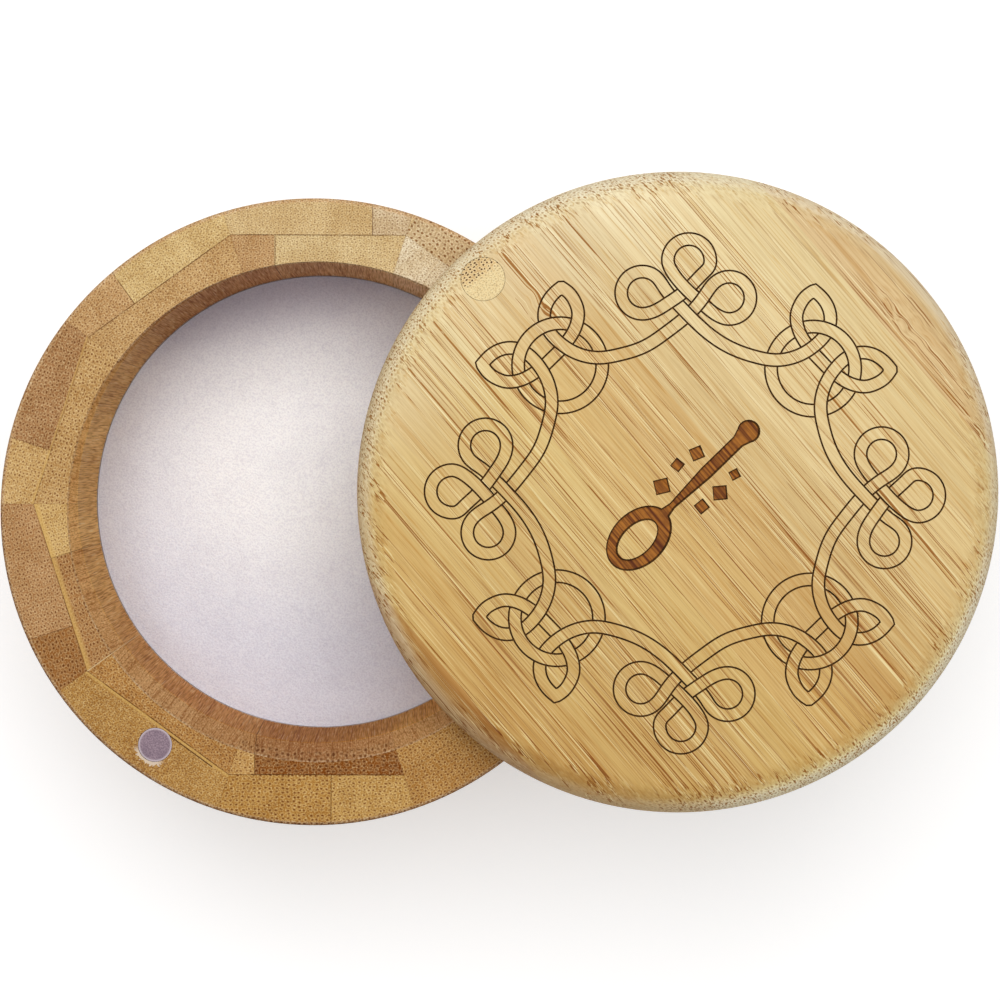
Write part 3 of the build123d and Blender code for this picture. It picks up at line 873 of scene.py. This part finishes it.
# %% [markdown]
# ## The motif in the middle
# In the middle of the ring the lid carries a small deep engraving. Here it is a plain salt spoon with a few
# salt crystals, as big, as deep and as dark as the real engraving and set at the same slant.

# %% Spoon and crystals
SPOON_SLANT = math.radians(45)


def oval(centre, half_length, half_width, count=40):
    """An oval along the spoon."""
    angles = np.linspace(0, 2 * math.pi, count, endpoint=False)
    return [(centre[0] + half_length * math.cos(a), centre[1] + half_width * math.sin(a)) for a in angles]


def crystal(centre, size, turn=0.0):
    """A square salt crystal."""
    angles = [turn + math.pi / 2 * k for k in range(4)]
    return [(centre[0] + size * math.cos(a), centre[1] + size * math.sin(a)) for a in angles]


BOWL_MIDDLE, BOWL_LENGTH, BOWL_WIDTH = -8.8, 5.2, 3.7
NECK, HANDLE, HANDLE_END = 0.5, 0.95, 12.2
bowl_turns = np.radians(np.linspace(12, 348, 44))
bowl_edge = [(BOWL_MIDDLE + BOWL_LENGTH * math.cos(a), BOWL_WIDTH * math.sin(a)) for a in bowl_turns]
end_turns = np.radians(np.linspace(-125, 125, 17))
end_edge = [(HANDLE_END + 1.6 * math.cos(a), 1.6 * math.sin(a)) for a in end_turns]
spoon = bowl_edge + [(-2.4, -NECK), (4.0, -HANDLE), (10.2, -HANDLE)] + end_edge \
    + [(10.2, HANDLE), (4.0, HANDLE), (-2.4, NECK)]
hollow = oval((BOWL_MIDDLE - 0.3, 0.0), 3.3, 1.9)
crystals = [crystal((-1.6, 2.9), 1.45, 0.25), crystal((2.0, 3.5), 1.05, 0.9), crystal((5.0, 2.8), 1.25, 0.4),
            crystal((0.4, -2.9), 1.15, 0.7), crystal((3.5, -3.3), 1.4, 0.1), crystal((6.7, -2.9), 0.95, 0.5)]


def slanted(points):
    cos, sin = math.cos(SPOON_SLANT), math.sin(SPOON_SLANT)
    return np.array([(x * cos - y * sin, x * sin + y * cos) for x, y in points])


deep_shapes = [slanted(shape) for shape in [spoon, hollow] + crystals]

# %% [markdown]
# ## The carved lid
# The engraving is cut into the lid's own mesh, so that it also shows without the finish. The top is one flat
# sheet of triangles whose edges follow every groove, made with Blender's constrained Delaunay triangulation.
# A height is then given to each point: the rounded edge, the V of each line, the deeper floor of the motif.
# Displacing a fine grid would need millions of faces to draw a line a third of a millimetre wide as crisply.

# %% Sizes of the lid
LID_RADIUS = (lid_high.x - lid_low.x) / 2 / MM
TOP_ROUND = 5.0
BOTTOM_ROUND = 0.8
LINE_DEPTH = 0.22
MOTIF_DEPTH = 0.70
MOTIF_WALL = 0.24
PLUG_HOLE = 3.05
SCREW_HOLE = 1.55
MAGNET_HOLE = 2.43
RIM_STEPS = 240
RING_PIXEL = (685.0, 493.4)
RING_TURN = math.radians(-0.75)
thickness = (lid_high.z - lid_low.z) / MM

plug_low, plug_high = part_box("pivot_plug")
washer_low, washer_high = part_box("pivot_washer")
magnet_low, magnet_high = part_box("lid_magnet")
to_photo = Matrix.Rotation(-PHOTO_TURN, 2)


def lid_plan(point):
    """A point of the part's frame in the lid's plan: millimetres from its middle, as the photograph lies."""
    flat = to_photo @ Vector((point.x - lid_middle.x, point.y - lid_middle.y))
    return np.array(flat) / MM


plug_at = lid_plan((plug_low + plug_high) / 2)
magnet_at = lid_plan((magnet_low + magnet_high) / 2)
ring_at = lid_plan(on_plane(RING_PIXEL, LID_TOP))
screw_floor = (washer_low.z - lid_low.z) / MM
magnet_roof = (magnet_high.z - lid_low.z) / MM + 0.05
print("ring's middle in the lid's plan:", ring_at.round(2), "plug:", plug_at.round(2))


# %% Laying the outlines out on the lid
def turned(points, angle, shift_by):
    cos, sin = math.cos(angle), math.sin(angle)
    return np.asarray(points) @ np.array([[cos, sin], [-sin, cos]]) + shift_by


ring_lines = [turned(line, RING_TURN, ring_at) for line in lines]
deep_outlines = [turned(shape, RING_TURN, ring_at) for shape in deep_shapes]


def outline_area(points):
    x, y = points[:, 0], points[:, 1]
    return 0.5 * float(np.sum(x * np.roll(y, -1) - y * np.roll(x, -1)))


def side_step(line, distance, closed):
    """A line set off sideways by a small distance."""
    if closed:
        direction = np.roll(line, -1, axis=0) - np.roll(line, 1, axis=0)
    else:
        direction = np.gradient(line, axis=0)
    direction /= np.linalg.norm(direction, axis=1)[:, None]
    return line + distance * np.c_[-direction[:, 1], direction[:, 0]]


def circle_points(centre, radius, count):
    angles = np.linspace(0, 2 * math.pi, count, endpoint=False)
    return np.c_[centre[0] + radius * np.cos(angles), centre[1] + radius * np.sin(angles)]


# %% Heights of the lid's top
centre_samples = []
for line in ring_lines:
    for start, end in zip(line[:-1], line[1:]):
        for share in np.linspace(0, 1, 7):
            centre_samples.append(start + (end - start) * share)
line_finder = kdtree.KDTree(len(centre_samples))
for i, sample in enumerate(centre_samples):
    line_finder.insert((*sample, 0), i)
line_finder.balance()


def to_line(x, y):
    """How far a point is from the middle of the nearest engraved line."""
    return line_finder.find((x, y, 0))[2]


def inside(points, x, y):
    """Whether a point lies inside an outline."""
    x0, y0 = points[:, 0], points[:, 1]
    x1, y1 = np.roll(x0, -1), np.roll(y0, -1)
    spans = (y0 > y) != (y1 > y)
    with np.errstate(divide="ignore", invalid="ignore"):
        return bool(np.count_nonzero(spans & (x < (x1 - x0) * (y - y0) / (y1 - y0) + x0)) % 2)


def to_outline(points, x, y):
    """How far a point is from an outline."""
    start, run = points, np.roll(points, -1, axis=0) - points
    share = np.clip(((np.array((x, y)) - start) * run).sum(axis=1) / (run ** 2).sum(axis=1), 0, 1)
    return float(np.linalg.norm(start + run * share[:, None] - (x, y), axis=1).min())


MOTIF_REACH = 14.5


def motif_depth(x, y):
    """How deep the motif is cut at a point."""
    if math.hypot(x - ring_at[0], y - ring_at[1]) > MOTIF_REACH:
        return 0.0
    cut = inside(deep_outlines[0], x, y) and not inside(deep_outlines[1], x, y)
    cut = cut or any(inside(outline, x, y) for outline in deep_outlines[2:])
    if not cut:
        return 0.0
    wall = min(to_outline(outline, x, y) for outline in deep_outlines)
    return MOTIF_DEPTH * min(1.0, wall / MOTIF_WALL)


def top_height(x, y):
    """The height of the lid's top over its underside, in millimetres."""
    reach = min(math.hypot(x, y), LID_RADIUS) - (LID_RADIUS - TOP_ROUND)
    fall = TOP_ROUND - math.sqrt(max(TOP_ROUND ** 2 - reach ** 2, 0)) if reach > 0 else 0.0
    if reach > TOP_ROUND - 1e-3:
        fall = TOP_ROUND
    groove = LINE_DEPTH * max(0.0, 1 - to_line(x, y) / (LINE_WIDTH / 2))
    return thickness - fall - max(groove, motif_depth(x, y))


# %% Triangles of the lid's top
def add_line(points, pairs, line, closed):
    start = len(points)
    points.extend(map(tuple, line))
    pairs.extend((start + i, start + i + 1) for i in range(len(line) - 1))
    if closed:
        pairs.append((start + len(line) - 1, start))


points, pairs = [], []
for turn_of_edge in np.radians(np.linspace(0, 90, 10)):
    radius = LID_RADIUS - TOP_ROUND + TOP_ROUND * math.sin(turn_of_edge)
    add_line(points, pairs, circle_points((0, 0), radius, RIM_STEPS), True)
add_line(points, pairs, circle_points(plug_at, PLUG_HOLE, 64), True)
for line in ring_lines:
    closed = bool(np.allclose(line[0], line[-1]))
    body = line[:-1] if closed else line
    for distance in (-LINE_WIDTH / 2, 0, LINE_WIDTH / 2):
        add_line(points, pairs, side_step(body, distance, closed), closed)
    if not closed:
        for end in (0, -1):
            cap = [side_step(body, d, False)[end] for d in (-LINE_WIDTH / 2, 0, LINE_WIDTH / 2)]
            add_line(points, pairs, cap, False)
for outline in deep_outlines:
    add_line(points, pairs, outline, True)
    sign = 1 if outline_area(outline) > 0 else -1
    inward = sign if outline is not deep_outlines[1] else -sign
    add_line(points, pairs, side_step(outline, inward * MOTIF_WALL, True), True)
for i in range(-30, 31):
    for j in range(-35, 36):
        x, y = (i + 0.5 * (j % 2)) * 1.5, j * 1.3
        clear_of_plug = math.hypot(x - plug_at[0], y - plug_at[1]) > PLUG_HOLE + 0.6
        clear_of_lines = to_line(x, y) > 0.5
        clear_of_motif = all(to_outline(outline, x, y) > 0.5 for outline in deep_outlines)
        if math.hypot(x, y) < LID_RADIUS - TOP_ROUND - 0.5 and clear_of_plug and clear_of_lines and clear_of_motif:
            points.append((x, y))
sheet = geometry.delaunay_2d_cdt([Vector(p) for p in points], pairs, [], 0, 1e-5, False)
print("top of the lid:", len(sheet[0]), "points,", len(sheet[2]), "triangles")


# %% The rest of the lid
def ring_band(shape, lower, upper):
    """Faces between two rings of the same number of points."""
    count = len(lower)
    faces = []
    for i in range(count):
        corners = (lower[i], lower[(i + 1) % count], upper[(i + 1) % count], upper[i])
        faces.append(shape.faces.new(corners))
    return faces


def ring_at_height(shape, centre, radius, height, count):
    return [shape.verts.new((x, y, height)) for x, y in circle_points(centre, radius, count)]


lid_shape = bmesh.new()
top_points = [lid_shape.verts.new((p.x, p.y, top_height(p.x, p.y))) for p in sheet[0]]
plug_rim = PLUG_HOLE * math.cos(math.pi / 64)
rim_edge = LID_RADIUS * math.cos(math.pi / RIM_STEPS) - 1e-4
groove_faces, motif_faces = [], []
for triangle in sheet[2]:
    x = sum(sheet[0][i].x for i in triangle) / 3
    y = sum(sheet[0][i].y for i in triangle) / 3
    if math.hypot(x - plug_at[0], y - plug_at[1]) < plug_rim or math.hypot(x, y) > LID_RADIUS:
        continue
    face = lid_shape.faces.new([top_points[i] for i in triangle])
    if to_line(x, y) < LINE_WIDTH / 2:
        groove_faces.append(face)
    elif motif_depth(x, y) > 0.98 * MOTIF_DEPTH:
        motif_faces.append(face)
    # the motif's walls take the dark line finish: partly char, partly painted shade on the steep walls
    elif motif_depth(x, y) > 0.0:
        groove_faces.append(face)



def from_plug(point):
    return math.hypot(point.x - plug_at[0], point.y - plug_at[1])


def round_plug(index):
    return math.atan2(sheet[0][index].y - plug_at[1], sheet[0][index].x - plug_at[0])


on_plug = sorted((i for i, p in enumerate(sheet[0]) if abs(from_plug(p) - PLUG_HOLE) < 5e-3), key=round_plug)


def in_plug_hole(radius, height):
    """A ring in the plug's hole, with one point under each point of the hole's edge."""
    return [(plug_at[0] + radius * math.cos(round_plug(i)), plug_at[1] + radius * math.sin(round_plug(i)), height)
            for i in on_plug]


rim_ring = ring_at_height(lid_shape, (0, 0), LID_RADIUS, thickness - TOP_ROUND, RIM_STEPS)
low_rings = []
for turn_of_edge in np.radians(np.linspace(0, 90, 5)):
    radius = LID_RADIUS - BOTTOM_ROUND + BOTTOM_ROUND * math.cos(turn_of_edge)
    height = BOTTOM_ROUND - BOTTOM_ROUND * math.sin(turn_of_edge)
    low_rings.append(ring_at_height(lid_shape, (0, 0), radius, height, RIM_STEPS))
for upper, lower in zip([rim_ring] + low_rings, low_rings):
    ring_band(lid_shape, lower, upper)

under_points, under_pairs = [], []
add_line(under_points, under_pairs, circle_points((0, 0), LID_RADIUS - BOTTOM_ROUND, RIM_STEPS), True)
add_line(under_points, under_pairs, [(x, y) for x, y, _ in in_plug_hole(SCREW_HOLE, 0)], True)
add_line(under_points, under_pairs, circle_points(magnet_at, MAGNET_HOLE, 48), True)
for i in range(-12, 13):
    for j in range(-12, 13):
        x, y = (i + 0.5 * (j % 2)) * 4, j * 3.5
        if math.hypot(x, y) < LID_RADIUS - 3:
            under_points.append((x, y))
under = geometry.delaunay_2d_cdt([Vector(p) for p in under_points], under_pairs, [], 0, 1e-5, False)
under_verts = [lid_shape.verts.new((p.x, p.y, 0)) for p in under[0]]
for triangle in under[2]:
    in_hole = [all(math.dist(under[0][i], centre) < radius + 1e-3 for i in triangle)
               for centre, radius in ((plug_at, SCREW_HOLE), (magnet_at, MAGNET_HOLE))]
    if not any(in_hole):
        lid_shape.faces.new([under_verts[i] for i in reversed(triangle)])

shelf_outer, shelf_inner, screw_bottom = [
    [lid_shape.verts.new(spot) for spot in in_plug_hole(radius, height)]
    for radius, height in ((PLUG_HOLE, screw_floor), (SCREW_HOLE, screw_floor), (SCREW_HOLE, 0))
]
ring_band(lid_shape, [top_points[i] for i in on_plug], shelf_outer)
ring_band(lid_shape, shelf_outer, shelf_inner)
ring_band(lid_shape, shelf_inner, screw_bottom)
magnet_bottom = ring_at_height(lid_shape, magnet_at, MAGNET_HOLE, 0, 48)
magnet_top = ring_at_height(lid_shape, magnet_at, MAGNET_HOLE, magnet_roof, 48)
ring_band(lid_shape, magnet_top, magnet_bottom)
lid_shape.faces.new(magnet_top)

for face in groove_faces:
    face.material_index = 1
for face in motif_faces:
    face.material_index = 2
bmesh.ops.remove_doubles(lid_shape, verts=lid_shape.verts, dist=2e-4)
bmesh.ops.recalc_face_normals(lid_shape, faces=lid_shape.faces)
open_edges = sum(1 for edge in lid_shape.edges if len(edge.link_faces) != 2)
print("lid:", len(lid_shape.faces), "faces,", open_edges, "open edges")

# %% Lid into the frame
SMOOTH_LIMIT = math.radians(28)

lid_mesh = bpy.data.meshes.new("carved_lid")
place_lid = Matrix.Translation((lid_middle.x, lid_middle.y, lid_low.z)) @ Matrix.Rotation(PHOTO_TURN, 4, "Z") \
    @ Matrix.Scale(MM, 4)
lid_shape.transform(place_lid)
lid_shape.to_mesh(lid_mesh)
lid_shape.free()
carved_lid = bpy.data.objects.new("carved_lid", lid_mesh)
bpy.context.scene.collection.objects.link(carved_lid)
for polygon in lid_mesh.polygons:
    polygon.use_smooth = True
lid_mesh.set_sharp_from_angle(angle=SMOOTH_LIMIT)
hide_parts("lid_board")
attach(carved_lid, "lid")

# %% [markdown]
# ## Burnt wood
# The laser chars what it cuts. The thin lines are dark brown all through. The deep motif is lighter on its
# floor, where the grain still shows, and nearly black along its walls, which is partly char and partly painted shade.

# %% Finishes of the engraving
def burnt_finish(name, dark, light):
    """Charred bamboo: the grain still shows as darker and lighter streaks."""
    finish, tree, shader = start_finish(name)
    point = grain_space(tree, (lid_middle.x, lid_middle.y, LID_TOP), lying_grain(grain_along))
    streak = cloud(tree, stretch(tree, point, 3, 0.35, 14), detail=3.0)[0]
    blotch = cloud(tree, stretch(tree, point, 1.2, 1.2, 1.8), detail=2.0)[0]
    colour = blend_colours(tree, ease(tree, streak, 0.35, 0.68), light, dark)
    colour = blend_colours(tree, ease(tree, blotch, 0.45, 0.75, 0.0, 0.5), colour, dark)
    relief = add(tree, "Bump", {"Height": streak, "Strength": 0.5, "Distance": RELIEF}).outputs[0]
    fill(tree, shader, {"Base Color": colour, "Roughness": 0.7, "Specular IOR Level": 0.15, "Normal": relief})
    return finish


lid_mesh.materials.append(lid_bamboo)
lid_mesh.materials.append(burnt_finish("burnt_line", tint(56, 36, 16), tint(96, 64, 28)))
lid_mesh.materials.append(burnt_finish("burnt_floor", tint(88, 40, 14), tint(168, 106, 40)))

# %% [markdown]
# ## Salt
# Loose fine salt is heaped in the bowl: a soft mound with small uneven waves. The grains themselves are too
# small to model one by one, so the waves are in the mesh and the grains in the finish.

# %% Salt heap
salt_low, salt_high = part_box("salt_heap")
salt_middle = (salt_low + salt_high) / 2
salt_radius = (salt_high.x - salt_low.x) / 2 / MM - 0.02
SALT_STEP = 0.55
GRAIN_WAVE = 0.16


def salt_level(x, y):
    """Height of the salt over the floor of the box, in millimetres."""
    rise = (salt_high.z / MM - 0.25 - SALT_EDGE) * (1 - (math.hypot(x, y) / salt_radius) ** 2)
    swell = noise.noise((x / 11, y / 11, 3.7)) * 0.22 + noise.noise((x / 3.5, y / 3.5, 9.1)) * 0.07
    edge = min(1.0, (salt_radius - math.hypot(x, y)) / 4)
    return SALT_EDGE + rise + (swell * edge + noise.noise((x / 0.8, y / 0.8, 1.3)) * GRAIN_WAVE * 0.4)


salt_shape = bmesh.new()
rings = []
ring_count = int(salt_radius / SALT_STEP)
for k in range(1, ring_count + 1):
    radius = salt_radius * k / ring_count
    ring = []
    for x, y in circle_points((0, 0), radius, 192):
        ring.append(salt_shape.verts.new((x, y, min(salt_level(x, y), salt_high.z / MM - 0.02))))
    rings.append(ring)
peak = salt_shape.verts.new((0, 0, salt_level(0, 0)))
for i in range(192):
    salt_shape.faces.new((peak, rings[0][i], rings[0][(i + 1) % 192]))
for inner, outer in zip(rings, rings[1:]):
    ring_band(salt_shape, inner, outer)
foot = ring_at_height(salt_shape, (0, 0), salt_radius, salt_low.z / MM, 192)
ring_band(salt_shape, rings[-1], foot)
salt_shape.faces.new(foot)
bmesh.ops.recalc_face_normals(salt_shape, faces=salt_shape.faces)
salt_shape.transform(Matrix.Translation((salt_middle.x, salt_middle.y, 0)) @ Matrix.Scale(MM, 4))
salt_mesh = bpy.data.meshes.new("loose_salt")
salt_shape.to_mesh(salt_mesh)
salt_shape.free()
for polygon in salt_mesh.polygons:
    polygon.use_smooth = True
salt_mesh.set_sharp_from_angle(angle=math.radians(60))
loose_salt = bpy.data.objects.new("loose_salt", salt_mesh)
bpy.context.scene.collection.objects.link(loose_salt)
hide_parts("salt_heap")
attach(loose_salt, "body")

# %% Finish of the salt
# the salt's colour carries painted light: white round a bright spot, greyer further out
SALT_BRIGHT_PIXEL = (300, 450)

finish, tree, shader = start_finish("fine_salt")
point = scaled(tree, object_point(tree), 1 / MM)
salt_spot = on_plane(SALT_BRIGHT_PIXEL, salt_high.z) / MM
away = vector_calc(tree, "MULTIPLY", vector_calc(tree, "SUBTRACT", point, tuple(salt_spot)), (1, 1, 0))
painted_light_falloff = ease(tree, add(tree, "VectorMath", {0: away}, operation="LENGTH").outputs["Value"], 8.0, 34.0)
grains = add(tree, "TexVoronoi", {"Vector": point, "Scale": 2.8}, feature="F1").outputs["Distance"]
tufts = cloud(tree, stretch(tree, point, 0.26, 0.26, 0.26), detail=3.0)[0]
drift = cloud(tree, stretch(tree, point, 3.5, 3.5, 3.5), detail=2.0)[0]
salt_with_painted_light = blend_colours(tree, painted_light_falloff, tint(255, 255, 255), tint(228, 231, 243))
# painted shadow of the bowl's wall on the salt, on the side towards the softbox
towards_shaded_wall = (math.cos(PHOTO_TURN + math.radians(102)), math.sin(PHOTO_TURN + math.radians(102)), 0)
painted_wall_shadow = ease(tree, add(tree, "VectorMath", {0: away, 1: towards_shaded_wall}, operation="DOT_PRODUCT").outputs[1], 15.0, 25.0)
salt_with_painted_light = darken(tree, salt_with_painted_light, painted_wall_shadow, (0.66, 0.64, 0.70, 1))
colour = darken(tree, salt_with_painted_light, ease(tree, tufts, 0.36, 0.72, 0.0, 1.0), (0.84, 0.83, 0.87, 1))
colour = darken(tree, colour, ease(tree, drift, 0.46, 0.72, 0.0, 0.4), (0.92, 0.91, 0.93, 1))
height = calc(tree, "ADD", calc(tree, "MULTIPLY", grains, -0.4), tufts)
relief = add(tree, "Bump", {"Height": height, "Strength": 0.5, "Distance": 0.25 * MM}).outputs[0]
fill(tree, shader, {"Base Color": colour, "Roughness": 0.9, "Specular IOR Level": 0.6, "Normal": relief})
salt_mesh.materials.append(finish)


# %% [markdown]
# ## Magnets
# The magnet is a nickel-plated disc pressed into a drilled hole, dull from handling: a speckled lilac grey
# with a painted highlight, a thin bright ring, where its edge is rounded.

# %% Finish of the magnets
def nickel_finish(name, node):
    """Dull, speckled nickel with a painted highlight round its edge, for one magnet."""
    low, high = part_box(node)
    centre = (low + high) / 2
    finish, tree, shader = start_finish(name)
    point = grain_space(tree, (centre.x, centre.y, 0), (0, 0, 0))
    flat = vector_calc(tree, "MULTIPLY", point, (1, 1, 0))
    away = add(tree, "VectorMath", {0: flat}, operation="LENGTH").outputs["Value"]
    edge = ease(tree, away, 2.02, 2.28)
    speckle = cloud(tree, stretch(tree, point, 0.22, 0.22, 0.22), detail=4.0)[0]
    stain = cloud(tree, stretch(tree, point, 1.4, 1.4, 1.4), detail=2.0)[0]
    colour = blend_colours(tree, ease(tree, speckle, 0.35, 0.65), tint(86, 70, 80), tint(130, 111, 120))
    colour = blend_colours(tree, ease(tree, stain, 0.45, 0.7, 0.0, 0.4), colour, tint(86, 70, 82))
    # painted highlight: a thin bright ring round the magnet's rounded edge
    colour = blend_colours(tree, calc(tree, "MULTIPLY", edge, 0.45), colour, tint(186, 176, 180))
    relief = add(tree, "Bump", {"Height": speckle, "Strength": 0.5, "Distance": 0.03 * MM}).outputs[0]
    roughness = ease(tree, speckle, 0.3, 0.7, 0.42, 0.62)
    fill(tree, shader, {"Base Color": colour, "Metallic": 0.6, "Roughness": roughness, "Normal": relief})
    return finish


dress("body_magnet", nickel_finish("rim_magnet_nickel", "body_magnet"))
dress("lid_magnet", nickel_finish("lid_magnet_nickel", "lid_magnet"))


# %% [markdown]
# ## Screw, washer and plug
# The pivot screw and its washer sit under the plug. They are zinc plated, with fine turning rings. The plug
# is a slice of bamboo dowel set on end, with big dark bundles at one side and small pale ones at the other.

# %% Finish of the steel
def zinc_finish(name, ring_gap):
    """Zinc-plated steel with fine rings round the pivot."""
    finish, tree, shader = start_finish(name)
    centre = (plug_low + plug_high) / 2
    point = grain_space(tree, (centre.x, centre.y, 0), (0, 0, 0))
    flat = vector_calc(tree, "MULTIPLY", point, (1, 1, 0))
    away = add(tree, "VectorMath", {0: flat}, operation="LENGTH").outputs["Value"]
    rings_of_light = calc(tree, "SINE", calc(tree, "MULTIPLY", away, 2 * math.pi / ring_gap))
    bloom = cloud(tree, stretch(tree, point, 0.9, 0.9, 0.9), detail=3.0)[0]
    colour = blend_colours(tree, ease(tree, bloom, 0.35, 0.7), tint(196, 198, 200), tint(168, 166, 160))
    relief = add(tree, "Bump", {"Height": rings_of_light, "Strength": 0.25, "Distance": 0.01 * MM}).outputs[0]
    roughness = ease(tree, bloom, 0.3, 0.7, 0.28, 0.45)
    fill(tree, shader, {"Base Color": colour, "Metallic": 1.0, "Roughness": roughness, "Normal": relief})
    return finish


dress("pivot_screw", zinc_finish("screw_zinc", 0.22))
dress("pivot_washer", zinc_finish("washer_zinc", 0.16))

# %% Finish of the plug
finish, tree, shader = start_finish("plug_bamboo")
plug_middle = (plug_low + plug_high) / 2
point = grain_space(tree, (plug_middle.x, plug_middle.y, 0), (0, 0, PHOTO_TURN + math.radians(125)))
sideways = add(tree, "SeparateXYZ", {0: point}).outputs[0]
crowded = ease(tree, sideways, -0.4, 1.3)
tone = blend_colours(tree, crowded, tint(233, 211, 160), tint(232, 204, 152))
bamboo_surface(tree, shader, point, tone, crowded, gaps=(0.48, 0.54), dots=ease(tree, crowded, 0.0, 1.0, 0.4, 1.3),
               grit=0.4, patches=0.2, shade=(0.12, 0.06, 0.03, 1))
dress("pivot_plug", finish)
